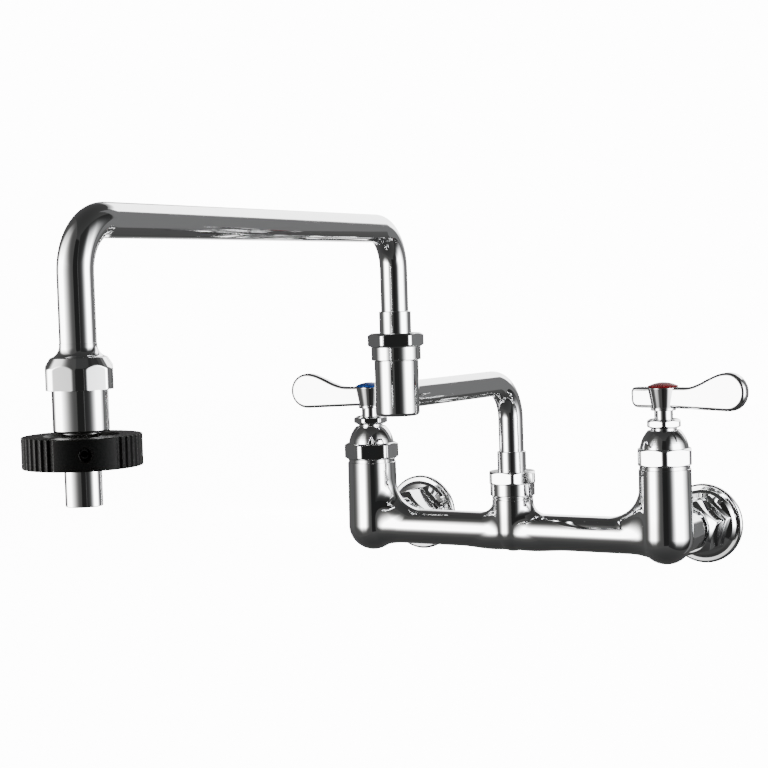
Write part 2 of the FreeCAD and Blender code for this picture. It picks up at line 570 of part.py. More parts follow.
def stem():
    """Spindle: slotted foot that turns the disc, waist, thrust collar, O-ring groove and head."""
    foot_top = MOVING_DISC_TOP + STEM_FOOT_HEIGHT
    collar_bottom = STEM_COLLAR_TOP - STEM_COLLAR_HEIGHT
    groove = (STEM_COLLAR_TOP + DOME_TOP) / 2
    groove_radius = STEM_RADIUS - 2 * O_RING_SECTION
    half = O_RING_SECTION + SEATED
    head_top = HUB_BOTTOM + STEM_HEAD_HEIGHT
    body = turned([(0, MOVING_DISC_TOP), (STEM_COLLAR_RADIUS, MOVING_DISC_TOP),
                   (STEM_COLLAR_RADIUS, foot_top), (STEM_WAIST_RADIUS, foot_top),
                   (STEM_WAIST_RADIUS, collar_bottom), (STEM_COLLAR_RADIUS, collar_bottom),
                   (STEM_COLLAR_RADIUS, STEM_COLLAR_TOP), (STEM_RADIUS, STEM_COLLAR_TOP),
                   (STEM_RADIUS, groove - half), (groove_radius, groove - half),
                   (groove_radius, groove + half), (STEM_RADIUS, groove + half), (STEM_RADIUS, HUB_BOTTOM),
                   (STEM_HEAD_RADIUS, HUB_BOTTOM), (STEM_HEAD_RADIUS, head_top), (0, head_top)])
    reach = 2 * STEM_COLLAR_RADIUS
    slot = Part.makeBox(reach, STEM_SLOT_WIDTH, STEM_FOOT_HEIGHT / 2,
                        Vector(-reach / 2, -STEM_SLOT_WIDTH / 2, MOVING_DISC_TOP))
    return body.cut([slot, rod(SCREW_RADIUS + SEATED, head_top - SCREW_LENGTH, head_top)])


def stem_o_ring():
    """O-ring in the stem's groove."""
    radius = STEM_RADIUS - O_RING_SECTION + SEATED
    return o_ring(radius, O_RING_SECTION, (STEM_COLLAR_TOP + DOME_TOP) / 2)


def cartridge_shell():
    """Sleeve that holds the discs, open at the sides above them for the mixed water."""
    top = BONNET_ROOF
    shell = ring(CARTRIDGE_RADIUS, CARTRIDGE_BORE_RADIUS, SEAT_SEAL_TOP, top)
    foot = ring(CARTRIDGE_RADIUS, SEAT_SEAL_RADIUS + SEATED, CARTRIDGE_BOTTOM, SEAT_SEAL_TOP)
    height = MOVING_DISC_TOP + CARTRIDGE_WINDOW_RADIUS
    reach = 2 * CARTRIDGE_RADIUS
    window = Part.makeCylinder(CARTRIDGE_WINDOW_RADIUS, 2 * reach, Vector(-reach, 0, height),
                               Vector(1, 0, 0))
    return shell.fuse(foot).removeSplitter().cut(window)


def ceramic_disc(radius, low):
    """Ceramic disc with two round ports."""
    disc = rod(radius, low, low + DISC_THICKNESS)
    port = rod(DISC_PORT_RADIUS, low, low + DISC_THICKNESS)
    return disc.cut([moved(port, DISC_PORT_OFFSET), moved(port, -DISC_PORT_OFFSET)])


def seat_seal():
    """Rubber ring between the seat in the body and the fixed disc."""
    return ring(SEAT_SEAL_RADIUS, SEAT_HOLE_RADIUS, SEAT_HEIGHT, SEAT_SEAL_TOP)


# ---- Lever handle, pointing along +X ----
def lever_outline():
    """Side view of the blade: short tail, straight neck, upper edge swept up into a round paddle."""
    bottom = HUB_BOTTOM + LEVER_FOOT
    top = bottom + LEVER_NECK_HEIGHT
    radius = PADDLE_HEIGHT / 2
    centre = LEVER_REACH - radius
    crown = bottom - PADDLE_DROP + PADDLE_HEIGHT
    sweep = []
    steps = 8
    for step in range(steps + 1):
        share = step / steps
        x = PADDLE_RISE_START + (centre - PADDLE_RISE_START) * share
        sweep.append(Vector(x, 0, top + (crown - top) * (1 - math.cos(math.pi * share)) / 2))
    upper = Part.BSplineCurve()
    upper.interpolate(Points=sweep, InitialTangent=Vector(1, 0, 0), FinalTangent=Vector(1, 0, 0))
    tip = Part.Arc(sweep[-1], Vector(LEVER_REACH, 0, crown - radius), Vector(centre, 0, crown - 2 * radius))
    low_start = Vector(TAIL_BOTTOM_ROUND - LEVER_TAIL, 0, bottom)
    low_end = Vector(-LEVER_TAIL, 0, bottom + TAIL_BOTTOM_ROUND)
    high_start = Vector(-LEVER_TAIL, 0, top - TAIL_TOP_ROUND)
    high_end = Vector(TAIL_TOP_ROUND - LEVER_TAIL, 0, top)
    runs = [(Vector(centre, 0, crown - 2 * radius), Vector(HUB_TOP_RADIUS, 0, bottom)),
            (Vector(HUB_TOP_RADIUS, 0, bottom), low_start), (low_end, high_start), (high_end, sweep[0])]
    sides = [Part.LineSegment(a, b).toShape() for a, b in runs]
    rounds = [round_corner(low_start, low_end, Vector(low_start.x, 0, low_end.z)),
              round_corner(high_start, high_end, Vector(high_end.x, 0, high_start.z))]
    return Part.Wire(Part.__sortEdges__([upper.toShape(), tip.toShape()] + sides + rounds))


def lever_handle():
    """Blade with rounded edges through a tapered hub, with a stem socket and a button recess."""
    face = Part.Face(lever_outline())
    blade = face.extrude(Vector(0, LEVER_THICKNESS, 0))
    blade.translate(Vector(0, -LEVER_THICKNESS / 2, 0))
    rim = [edge for edge in blade.Edges if abs(abs(edge.CenterOfMass.y) - LEVER_THICKNESS / 2) < LINE]
    blade = blade.makeFillet(LEVER_EDGE, rim)
    hub = turned([(0, HUB_BOTTOM), (HUB_COLLAR_RADIUS, HUB_BOTTOM),
                  (HUB_COLLAR_RADIUS, HUB_BOTTOM + HUB_COLLAR_HEIGHT),
                  (HUB_BOTTOM_RADIUS, HUB_BOTTOM + HUB_COLLAR_HEIGHT),
                  (HUB_TOP_RADIUS, HUB_TOP - HUB_EDGE), (HUB_TOP_RADIUS - HUB_EDGE / 2, HUB_TOP),
                  (0, HUB_TOP)])
    socket = rod(STEM_HEAD_RADIUS + SEATED, HUB_BOTTOM, HUB_BOTTOM + STEM_HEAD_HEIGHT)
    hole = rod(SCREW_RADIUS + RUNNING, HUB_BOTTOM, HUB_TOP)
    recess = rod(BUTTON_RADIUS + SEATED, HUB_TOP - BUTTON_SEAT_DEPTH, HUB_TOP + BUTTON_RISE)
    return hub.fuse(blade).cut([socket, hole, recess])


def index_button():
    """Coloured dome that snaps into the hub over the screw."""
    skirt = HUB_TOP - BUTTON_SEAT_DEPTH
    dome = turned([(0, skirt), (BUTTON_RADIUS, skirt), (BUTTON_RADIUS, HUB_TOP),
                   cap(BUTTON_RADIUS, HUB_TOP, BUTTON_RISE)])
    return dome.cut(rod(SCREW_HEAD_RADIUS + FREE, skirt, skirt + SCREW_HEAD_HEIGHT + FREE))


def handle_screw():
    """Pan-head screw that holds the handle on the stem."""
    seat = HUB_TOP - BUTTON_SEAT_DEPTH
    shank = rod(SCREW_RADIUS, HUB_BOTTOM + STEM_HEAD_HEIGHT - SCREW_LENGTH + FREE, seat)
    side_top = seat + SCREW_HEAD_EDGE
    head = turned([(0, seat), (SCREW_HEAD_RADIUS, seat), (SCREW_HEAD_RADIUS, side_top),
                   cap(SCREW_HEAD_RADIUS, side_top, SCREW_HEAD_HEIGHT - SCREW_HEAD_EDGE)])
    slot_bottom = seat + SCREW_HEAD_HEIGHT - SCREW_SLOT_DEPTH
    slot = Part.makeBox(2 * SCREW_HEAD_RADIUS, SCREW_SLOT_WIDTH, SCREW_SLOT_DEPTH,
                        Vector(-SCREW_HEAD_RADIUS, -SCREW_SLOT_WIDTH / 2, slot_bottom))
    return head.fuse(shank).cut(slot)


# ---- Swivel joint, about Z; the height is that of the nut's lower edge ----
def swivel_nut(low, corner):
    """Nut with a round skirt and a hexagon, whose roof holds the ferrule's snap ring down."""
    top = low + SWIVEL_NUT_HEIGHT
    edge = SWIVEL_NUT_EDGE
    skirt_top = low + SWIVEL_NUT_SKIRT + OVERLAP
    skirt = turned([(0, low), (SWIVEL_NUT_SKIRT_RADIUS - edge, low), (SWIVEL_NUT_SKIRT_RADIUS, low + edge),
                    (SWIVEL_NUT_SKIRT_RADIUS, skirt_top), (0, skirt_top)])
    hexagon = turned_hex(SWIVEL_NUT_FLATS, SWIVEL_NUT_CORNERS, low + SWIVEL_NUT_SKIRT, top, corner)
    thread = rod(SWIVEL_THREAD_RADIUS + SEATED, low, top - SWIVEL_NUT_ROOF)
    return skirt.fuse(hexagon).cut([thread, rod(FERRULE_RADIUS + RUNNING, low, top)])


def ferrule(low):
    """Sleeve brazed on a tube: spigot with O-ring and snap ring grooves below, socket above."""
    bottom = low - FERRULE_INSERTION
    top = low + SWIVEL_NUT_HEIGHT + FERRULE_ABOVE_NUT
    snap = low + SWIVEL_THREAD_LENGTH + FREE
    seal = low - FERRULE_INSERTION / 2
    seal_half = SPIGOT_O_RING_SECTION + SEATED
    seal_radius = FERRULE_RADIUS - 2 * SPIGOT_O_RING_SECTION
    snap_radius = FERRULE_RADIUS - SNAP_RING_GROOVE
    outside = [(FERRULE_BORE_RADIUS, bottom), (FERRULE_RADIUS - THREAD_CHAMFER, bottom),
               (FERRULE_RADIUS, bottom + THREAD_CHAMFER), (FERRULE_RADIUS, seal - seal_half),
               (seal_radius, seal - seal_half), (seal_radius, seal + seal_half),
               (FERRULE_RADIUS, seal + seal_half), (FERRULE_RADIUS, snap), (snap_radius, snap),
               (snap_radius, snap + SNAP_RING_HEIGHT), (FERRULE_RADIUS, snap + SNAP_RING_HEIGHT),
               (FERRULE_RADIUS, top - FERRULE_EDGE), (FERRULE_RADIUS - FERRULE_EDGE, top)]
    socket = TUBE_RADIUS + SEATED
    floor = top - FERRULE_SOCKET_DEPTH
    return turned(outside + [(socket, top), (socket, floor), (FERRULE_BORE_RADIUS, floor)])


def snap_ring(low):
    """Split ring in the ferrule's groove, with its mouth on +X."""
    bottom = low + SWIVEL_THREAD_LENGTH + FREE
    inner = FERRULE_RADIUS - SNAP_RING_GROOVE + SEATED
    body = ring(SNAP_RING_RADIUS, inner, bottom, bottom + SNAP_RING_HEIGHT)
    mouth = Part.makeBox(2 * SNAP_RING_RADIUS, SNAP_RING_MOUTH, SNAP_RING_HEIGHT,
                         Vector(0, -SNAP_RING_MOUTH / 2, bottom))
    return body.cut(mouth)


def spigot_o_ring(low):
    """O-ring that seals the spigot in its housing."""
    radius = FERRULE_RADIUS - SPIGOT_O_RING_SECTION + SEATED
    return o_ring(radius, SPIGOT_O_RING_SECTION, low - FERRULE_INSERTION / 2)


# ---- Arms, pointing along -Y from their joint ----
def hollow_tube(points, bend):
    """Bent tube of the arms' stock."""
    outside = bent_tube(points, bend, TUBE_RADIUS)
    return outside.cut(bent_tube(points, bend, TUBE_RADIUS - TUBE_WALL))


def lower_tube():
    """Tube from the riser's ferrule up, over and into the side of the elbow housing."""
    start = RISER_NUT_BOTTOM + SWIVEL_NUT_HEIGHT + FERRULE_ABOVE_NUT - FERRULE_SOCKET_DEPTH
    end = FERRULE_RADIUS + RUNNING + OVERLAP - LOWER_REACH
    return hollow_tube([Vector(0, 0, start), Vector(0, 0, LOWER_AXIS_HEIGHT),
                        Vector(0, end, LOWER_AXIS_HEIGHT)], LOWER_BEND)


def upper_tube():
    """Tube from the elbow's ferrule up, over the span and down into the outlet adaptor."""
    start = ELBOW_NUT_BOTTOM + SWIVEL_NUT_HEIGHT + FERRULE_ABOVE_NUT - FERRULE_SOCKET_DEPTH
    return hollow_tube([Vector(0, 0, start), Vector(0, 0, UPPER_AXIS_HEIGHT),
                        Vector(0, -UPPER_REACH, UPPER_AXIS_HEIGHT), Vector(0, -UPPER_REACH, VALVE_SEAT_TOP)],
                       UPPER_BEND)


def elbow_housing():
    """Closed cup at the end of the lower arm, with a threaded mouth and a side hole for the tube."""
    thread_top = ELBOW_NUT_BOTTOM + SWIVEL_THREAD_LENGTH
    inset = ELBOW_EDGE * ARC_SHARE
    cup = turned([(0, ELBOW_BOTTOM_HEIGHT), (ELBOW_RADIUS - ELBOW_EDGE, ELBOW_BOTTOM_HEIGHT),
                  ((ELBOW_RADIUS - inset, ELBOW_BOTTOM_HEIGHT + inset),
                   (ELBOW_RADIUS, ELBOW_BOTTOM_HEIGHT + ELBOW_EDGE)),
                  (ELBOW_RADIUS, ELBOW_TOP), (SWIVEL_THREAD_RADIUS, ELBOW_TOP),
                  (SWIVEL_THREAD_RADIUS, thread_top), (0, thread_top)])
    bore = rod(FERRULE_RADIUS + RUNNING, ELBOW_BOTTOM_HEIGHT + ELBOW_FLOOR, thread_top)
    side = Part.makeCylinder(TUBE_RADIUS + SEATED, 2 * ELBOW_RADIUS, Vector(0, 0, LOWER_AXIS_HEIGHT),
                             Vector(0, 1, 0))
    return cup.cut([bore, side])


# ---- Outlet valve, about Z ----
def outlet_adaptor():
    """Fitting brazed on the upper tube: concave flare, wrench hexagon, valve seat and thread."""
    top_radius = TUBE_RADIUS + ADAPTOR_LIP
    width = ADAPTOR_SHOULDER_RADIUS - top_radius
    middle = (top_radius + width * ARC_SHARE, SHOULDER_HEIGHT + ADAPTOR_FLARE * ARC_SHARE)
    foot = SHOULDER_HEIGHT - OVERLAP
    flare = turned([(0, foot), (ADAPTOR_SHOULDER_RADIUS, foot), (ADAPTOR_SHOULDER_RADIUS, SHOULDER_HEIGHT),
                    (middle, (top_radius, ADAPTOR_TOP_HEIGHT)), (0, ADAPTOR_TOP_HEIGHT)])
    hexagon = turned_hex(ADAPTOR_HEX_FLATS, ADAPTOR_HEX_CORNERS, ADAPTOR_BOTTOM, SHOULDER_HEIGHT,
                         ADAPTOR_HEX_CORNER, foot=(ADAPTOR_HEX_CORNERS, 0),
                         crown=(ADAPTOR_SHOULDER_RADIUS, ADAPTOR_HEX_TAPER))
    socket = rod(TUBE_RADIUS + SEATED, VALVE_SEAT_TOP, ADAPTOR_TOP_HEIGHT)
    thread = rod(OUTLET_BARREL_THREAD_RADIUS + SEATED, ADAPTOR_BOTTOM, VALVE_SEAT_BOTTOM)
    lip_radius = VALVE_SEAT_RADIUS + VALVE_SEAT_LIP_WALL
    lip = rod(lip_radius, VALVE_SEAT_BOTTOM - VALVE_SEAT_LIP, VALVE_SEAT_BOTTOM)
    hole = rod(VALVE_SEAT_RADIUS, VALVE_SEAT_BOTTOM - VALVE_SEAT_LIP, VALVE_SEAT_TOP)
    return flare.fuse(hexagon).cut([socket, thread]).fuse(lip).cut(hole)


def outlet_barrel():
    """Barrel under the adaptor: plug chamber above, threaded guide and O-ring groove below."""
    thread_top = ADAPTOR_BOTTOM + OUTLET_BARREL_THREAD_LENGTH
    edge = OUTLET_BARREL_EDGE
    inset = edge * ARC_SHARE
    guide = OUTLET_THREAD_RADIUS + RUNNING
    half = SPIGOT_O_RING_SECTION + SEATED
    groove = OUTLET_THREAD_RADIUS + 2 * half
    return turned([(guide, OUTLET_BARREL_BOTTOM), (OUTLET_BARREL_RADIUS - edge, OUTLET_BARREL_BOTTOM),
                   ((OUTLET_BARREL_RADIUS - inset, OUTLET_BARREL_BOTTOM + inset),
                    (OUTLET_BARREL_RADIUS, OUTLET_BARREL_BOTTOM + edge)),
                   (OUTLET_BARREL_RADIUS, ADAPTOR_BOTTOM), (OUTLET_BARREL_THREAD_RADIUS, ADAPTOR_BOTTOM),
                   (OUTLET_BARREL_THREAD_RADIUS, thread_top), (OUTLET_CHAMBER_RADIUS, thread_top),
                   (OUTLET_CHAMBER_RADIUS, OUTLET_GUIDE_TOP), (guide, OUTLET_GUIDE_TOP),
                   (guide, OUTLET_SEAL + half), (groove, OUTLET_SEAL + half),
                   (groove, OUTLET_SEAL - half), (guide, OUTLET_SEAL - half)])


def outlet_o_ring():
    """O-ring in the barrel's groove round the outlet tube."""
    radius = OUTLET_THREAD_RADIUS + SPIGOT_O_RING_SECTION + SEATED
    return o_ring(radius, SPIGOT_O_RING_SECTION, OUTLET_SEAL)


def valve_plug():
    """Plug on legs that stand on the outlet tube, so that water passes between them."""
    disc = rod(PLUG_DISC_RADIUS, PLUG_TOP - PLUG_DISC_HEIGHT, PLUG_TOP)
    outer = OUTLET_CHAMBER_RADIUS - FREE
    legs = ring(outer, PLUG_LEG_INNER_RADIUS, PLUG_BOTTOM, PLUG_TOP)
    bar = Part.makeBox(outer, PLUG_LEG_WIDTH, PLUG_TOP - PLUG_BOTTOM,
                       Vector(0, -PLUG_LEG_WIDTH / 2, PLUG_BOTTOM))
    bars = [moved(bar, turn=k * 360 / PLUG_LEG_COUNT) for k in range(PLUG_LEG_COUNT)]
    legs = legs.common(bars[0].fuse(bars[1:]))
    return disc.fuse(legs).cut(rod(SCREW_RADIUS + SEATED, PLUG_BOTTOM, PLUG_TOP))


def plug_seal():
    """Rubber disc that closes the seat."""
    return ring(PLUG_DISC_RADIUS, SCREW_RADIUS + SEATED, PLUG_TOP, PLUG_SEAL_TOP)


def plug_screw():
    """Screw that clamps the rubber disc to the plug, its head inside the seat."""
    head_height = SCREW_HEAD_HEIGHT / 2
    head = rod(SCREW_HEAD_RADIUS, PLUG_SEAL_TOP, PLUG_SEAL_TOP + head_height)
    return head.fuse(rod(SCREW_RADIUS, PLUG_TOP - PLUG_DISC_HEIGHT, PLUG_SEAL_TOP))


def outlet_tube():
    """Nozzle tube that screws up and down in the barrel and carries the wheel."""
    edge = OUTLET_TUBE_EDGE
    return turned([(OUTLET_TUBE_BORE, OUTLET_TUBE_BOTTOM), (OUTLET_TUBE_RADIUS - edge, OUTLET_TUBE_BOTTOM),
                   (OUTLET_TUBE_RADIUS, OUTLET_TUBE_BOTTOM + edge), (OUTLET_TUBE_RADIUS, WHEEL_BOTTOM),
                   (OUTLET_THREAD_RADIUS, WHEEL_BOTTOM), (OUTLET_THREAD_RADIUS, OUTLET_TUBE_TOP),
                   (OUTLET_TUBE_BORE, OUTLET_TUBE_TOP)])


def radial(shape):
    """Lay a piece turned about Z along the set screw's direction, at the wheel's middle height."""
    copy = shape.copy()
    copy.rotate(ORIGIN, Vector(0, 1, 0), 90)
    copy.rotate(ORIGIN, UP, SET_SCREW_DIRECTION)
    copy.translate(Vector(0, 0, WHEEL_MIDDLE))
    return copy


def hand_wheel():
    """Moulded wheel with a ribbed rim, plain beside the set screw, and a dished top."""
    edge = WHEEL_CHAMFER
    blank = turned([(0, WHEEL_BOTTOM), (WHEEL_RADIUS - edge, WHEEL_BOTTOM),
                    (WHEEL_RADIUS, WHEEL_BOTTOM + edge), (WHEEL_RADIUS, WHEEL_TOP - edge),
                    (WHEEL_RADIUS - edge, WHEEL_TOP),
                    (WHEEL_DISH_RADIUS + WHEEL_DISH_DEPTH, WHEEL_TOP),
                    (WHEEL_DISH_RADIUS, WHEEL_TOP - WHEEL_DISH_DEPTH), (0, WHEEL_TOP - WHEEL_DISH_DEPTH)])
    centre = WHEEL_RADIUS + WHEEL_GROOVE_RADIUS - WHEEL_GROOVE_DEPTH
    groove = rod(WHEEL_GROOVE_RADIUS, WHEEL_BOTTOM, WHEEL_TOP)
    pitch = 360 / WHEEL_RIBS
    cuts = []
    for k in range(WHEEL_RIBS):
        angle = (k + 0.5) * pitch
        if WHEEL_PLAIN_HALF_ANGLE < angle < 360 - WHEEL_PLAIN_HALF_ANGLE:
            cuts.append(moved(moved(groove, centre), turn=SET_SCREW_DIRECTION + angle))
    cuts.append(rod(OUTLET_THREAD_RADIUS + SEATED, WHEEL_BOTTOM, WHEEL_TOP))
    cuts.append(radial(rod(SET_SCREW_RADIUS + SEATED, 0, WHEEL_RADIUS + OVERLAP)))
    return blank.cut(cuts)


def set_screw():
    """Headless screw with a hexagon socket, bearing on the outlet tube."""
    inner = OUTLET_THREAD_RADIUS + SEATED
    outer = inner + SET_SCREW_LENGTH
    body = rod(SET_SCREW_RADIUS, inner, outer)
    socket = hex_bar(SET_SCREW_SOCKET, outer - SET_SCREW_SOCKET_DEPTH, outer, 0)
    return radial(body.cut(socket))


# ---- Assembly ----
def wall_pieces(side, x, corner):
    """Pieces of one wall connection, by name."""
    return {side + "_wall_flange": from_wall(wall_flange(corner), x),
            side + "_union_nut": from_wall(union_nut(corner), x),
            side + "_union_washer": from_wall(union_washer(), x),
            side + "_tailpiece": from_wall(tailpiece(), x)}


def valve_pieces(side, x, corner, heading):
    """Pieces of one valve with its handle, by name."""
    fixed = {"bonnet": bonnet(corner),
             "packing_nut": packing_nut(corner),
             "packing_ring": packing_ring(),
             "cartridge_shell": cartridge_shell(),
             "fixed_disc": ceramic_disc(CARTRIDGE_BORE_RADIUS - SEATED, SEAT_SEAL_TOP),
             "seat_seal": seat_seal(),
             "moving_disc": ceramic_disc(DISC_RADIUS, MOVING_DISC_BOTTOM),
             "stem": stem(),
             "stem_o_ring": stem_o_ring()}
    pieces = {side + "_" + name: moved(shape, x, VALVE_Y) for name, shape in fixed.items()}
    handle = {"lever_handle": lever_handle(), "index_button": index_button(), "handle_screw": handle_screw()}
    for name, shape in handle.items():
        pieces[side + "_" + name] = moved(shape, x, VALVE_Y, turn=heading)
    return pieces


def joint_place(reach, heading, start):
    """End of an arm that leaves a place in a heading measured from straight out."""
    angle = math.radians(heading)
    return Vector(start.x + reach * math.sin(angle), start.y - reach * math.cos(angle), 0)


def arm_pieces():
    """Pieces of the two arms and their swivels, by name."""
    riser = Vector(0, VALVE_Y, 0)
    elbow = joint_place(LOWER_REACH, LOWER_HEADING, riser)
    lower = {"lower_ferrule": ferrule(RISER_NUT_BOTTOM), "lower_snap_ring": snap_ring(RISER_NUT_BOTTOM),
             "lower_o_ring": spigot_o_ring(RISER_NUT_BOTTOM), "lower_arm_tube": lower_tube()}
    upper = {"upper_ferrule": ferrule(ELBOW_NUT_BOTTOM), "upper_snap_ring": snap_ring(ELBOW_NUT_BOTTOM),
             "upper_o_ring": spigot_o_ring(ELBOW_NUT_BOTTOM), "upper_arm_tube": upper_tube()}
    pieces = {name: moved(shape, riser.x, riser.y, turn=LOWER_HEADING) for name, shape in lower.items()}
    for name, shape in upper.items():
        pieces[name] = moved(shape, elbow.x, elbow.y, turn=UPPER_HEADING)
    pieces["riser_swivel_nut"] = moved(swivel_nut(RISER_NUT_BOTTOM, RISER_NUT_CORNER), riser.x, riser.y)
    pieces["elbow_swivel_nut"] = moved(swivel_nut(ELBOW_NUT_BOTTOM, ELBOW_NUT_CORNER), elbow.x, elbow.y)
    pieces["elbow_housing"] = moved(elbow_housing(), elbow.x, elbow.y, turn=LOWER_HEADING)
    return pieces


def outlet_pieces():
    """Pieces of the outlet valve, by name."""
    elbow = joint_place(LOWER_REACH, LOWER_HEADING, Vector(0, VALVE_Y, 0))
    outlet = joint_place(UPPER_REACH, UPPER_HEADING, elbow)
    shapes = {"outlet_adaptor": outlet_adaptor(), "outlet_barrel": outlet_barrel(),
              "outlet_o_ring": outlet_o_ring(), "valve_plug": valve_plug(),
              "plug_seal": plug_seal(), "plug_screw": plug_screw(),
              "outlet_tube": outlet_tube(), "hand_wheel": hand_wheel(), "set_screw": set_screw()}
    return {name: moved(shape, outlet.x, outlet.y) for name, shape in shapes.items()}


def main():
    os.makedirs("parts", exist_ok=True)
    pieces = {"mixing_body": mixing_body()}
    pieces.update(wall_pieces("left", -VALVE_X, HEX_TILT))
    pieces.update(wall_pieces("right", VALVE_X, HEX_TILT))
    pieces.update(valve_pieces("left", -VALVE_X, LEFT_BONNET_CORNER, 180 + LEVER_HEADING))
    pieces.update(valve_pieces("right", VALVE_X, RIGHT_BONNET_CORNER, -LEVER_HEADING))
    pieces.update(arm_pieces())
    pieces.update(outlet_pieces())
    for name, shape in pieces.items():
        print(f"{name}: {len(shape.Solids)} solid, {shape.Volume:.0f} cubic mm, valid {shape.isValid()}")
        shape.exportStep(os.path.join("parts", name + ".step"))


main()
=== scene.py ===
import json
import logging
import math
from dataclasses import dataclass, field
from enum import Enum
from typing import Callable, Sequence

import bpy
import numpy as np
from mathutils import Matrix, Vector


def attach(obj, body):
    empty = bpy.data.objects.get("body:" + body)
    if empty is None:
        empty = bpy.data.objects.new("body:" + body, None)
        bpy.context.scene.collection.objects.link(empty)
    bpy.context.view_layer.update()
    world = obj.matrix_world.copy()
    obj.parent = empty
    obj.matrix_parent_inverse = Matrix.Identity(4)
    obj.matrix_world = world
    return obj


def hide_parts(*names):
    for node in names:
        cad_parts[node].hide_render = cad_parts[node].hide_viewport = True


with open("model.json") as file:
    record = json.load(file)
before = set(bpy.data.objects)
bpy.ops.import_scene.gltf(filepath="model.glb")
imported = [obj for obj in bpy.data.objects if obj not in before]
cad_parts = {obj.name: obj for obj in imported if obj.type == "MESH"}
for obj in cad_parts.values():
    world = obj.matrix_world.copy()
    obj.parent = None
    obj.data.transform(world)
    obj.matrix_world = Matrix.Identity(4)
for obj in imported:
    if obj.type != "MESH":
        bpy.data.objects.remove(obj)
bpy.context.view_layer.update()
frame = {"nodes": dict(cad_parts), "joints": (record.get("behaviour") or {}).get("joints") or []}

# Wall faucet with a double-jointed spout. Shapes are worked out in millimetres, from the wall plane
# between the inlets, and scaled to metres when a mesh is made.

LOG = logging.getLogger("faucet")
MM = 0.001
JOINTS = {joint["name"]: joint for joint in frame["joints"]}
Array = np.ndarray
Value = bpy.types.NodeSocket | float | tuple[float, ...]
BAND_ACROSS, BAND_ALONG = 40.0, 5200.0  # noise cells per metre beside and along the lines' direction
CHAMFER_SLOPE = 0.62  # height over depth of a hexagon's turned corners
BEND_SAMPLES = 33  # circles along one bend of a tube
PATCH_SIZE, PATCH_SPAN = 22.0, (0.42, 0.72)  # hazy patches on metal: width in millimetres, noise range
SHADE_SIZE = 9.0  # width in millimetres of a moulding's colour patches
ARC_STEP = math.radians(9)  # widest angle between two samples on a rounded corner
TINY = 1e-9


class Body(Enum):
    """Rigid bodies of the frame."""

    BASE = "base"
    LEFT_HANDLE = "left_handle"
    RIGHT_HANDLE = "right_handle"
    LOWER_ARM = "lower_arm"
    UPPER_ARM = "upper_arm"
    OUTLET_STEM = "outlet_stem"


class Grain(Enum):
    """Direction of the faint lines that making leaves in a metal surface."""

    RINGS_Z = (0.0, 0.0, 1.0)
    RINGS_Y = (0.0, 1.0, 0.0)
    NONE = (0.0, 0.0, 0.0)


def axis_of(joint: str) -> tuple[float, float]:
    """Place of a vertical joint axis, as x and y in millimetres."""
    x, y, _ = JOINTS[joint]["pos_m"]
    return x / MM, y / MM


# ---- Finishes ----
@dataclass(frozen=True)
class Metal:
    """Polished or machined metal.

    Attributes:
        name: name of the material.
        colour: reflectance at normal incidence.
        roughness: roughness of the clean surface.
        smudge: how much hazier the handled patches are.
        ripple: depth in millimetres of the slow waves that casting and buffing leave.
        ripple_size: width in millimetres of those waves.
        lines: depth in millimetres of the turning or drawing lines.
        grain: direction of the lines.
    """

    name: str
    colour: tuple[float, float, float]
    roughness: float = 0.035
    smudge: float = 0.05
    ripple: float = 0.0
    ripple_size: float = 14.0
    lines: float = 0.0
    grain: Grain = Grain.NONE

    def material(self) -> bpy.types.Material:
        """Build the node tree: waves and lines drive a bump, soft patches drive the roughness."""
        tree = NodeTree.principled(self.name)
        shader = tree.shader
        tree.plug(shader.inputs["Base Color"], (*self.colour, 1.0))
        tree.plug(shader.inputs["Metallic"], 1.0)
        patches = tree.noise(PATCH_SIZE, detail=3.0)
        hazy = self.roughness + self.smudge
        tree.plug(shader.inputs["Roughness"],
                  tree.range_to(patches, PATCH_SPAN, (self.roughness, hazy), "SMOOTHSTEP"))
        heights: list[bpy.types.NodeSocket] = []
        if self.ripple:
            heights.append(tree.math("MULTIPLY", tree.noise(self.ripple_size, detail=1.0), self.ripple * MM))
        if self.lines:
            heights.append(tree.math("MULTIPLY", tree.bands(self.grain.value), self.lines * MM))
        if heights:
            tree.bump(heights[0] if len(heights) == 1 else tree.math("ADD", *heights))
        return tree.owner


@dataclass(frozen=True)
class Moulding:
    """Moulded plastic, rubber or ceramic.

    Attributes:
        name: name of the material.
        colour: main colour.
        shade: colour of the slow variation over the surface.
        roughness: roughness of the surface.
        grain_size: width in millimetres of the surface grain.
        grain_depth: depth in millimetres of the grain.
        gloss: level of the plain surface's own reflection.
    """

    name: str
    colour: tuple[float, float, float]
    shade: tuple[float, float, float]
    roughness: float = 0.4
    grain_size: float = 0.5
    grain_depth: float = 0.01
    gloss: float = 0.5

    def material(self) -> bpy.types.Material:
        """Build the node tree: two close colours mixed by soft noise, and a fine grain as bump."""
        tree = NodeTree.principled(self.name)
        inputs = tree.shader.inputs
        tree.plug(inputs["Roughness"], self.roughness)
        tree.plug(inputs["Specular IOR Level"], self.gloss)
        share = tree.noise(SHADE_SIZE, detail=4.0)
        tree.plug(inputs["Base Color"], tree.mixed(share, (*self.colour, 1.0), (*self.shade, 1.0)))
        tree.bump(tree.math("MULTIPLY", tree.noise(self.grain_size, detail=2.0), self.grain_depth * MM))
        return tree.owner


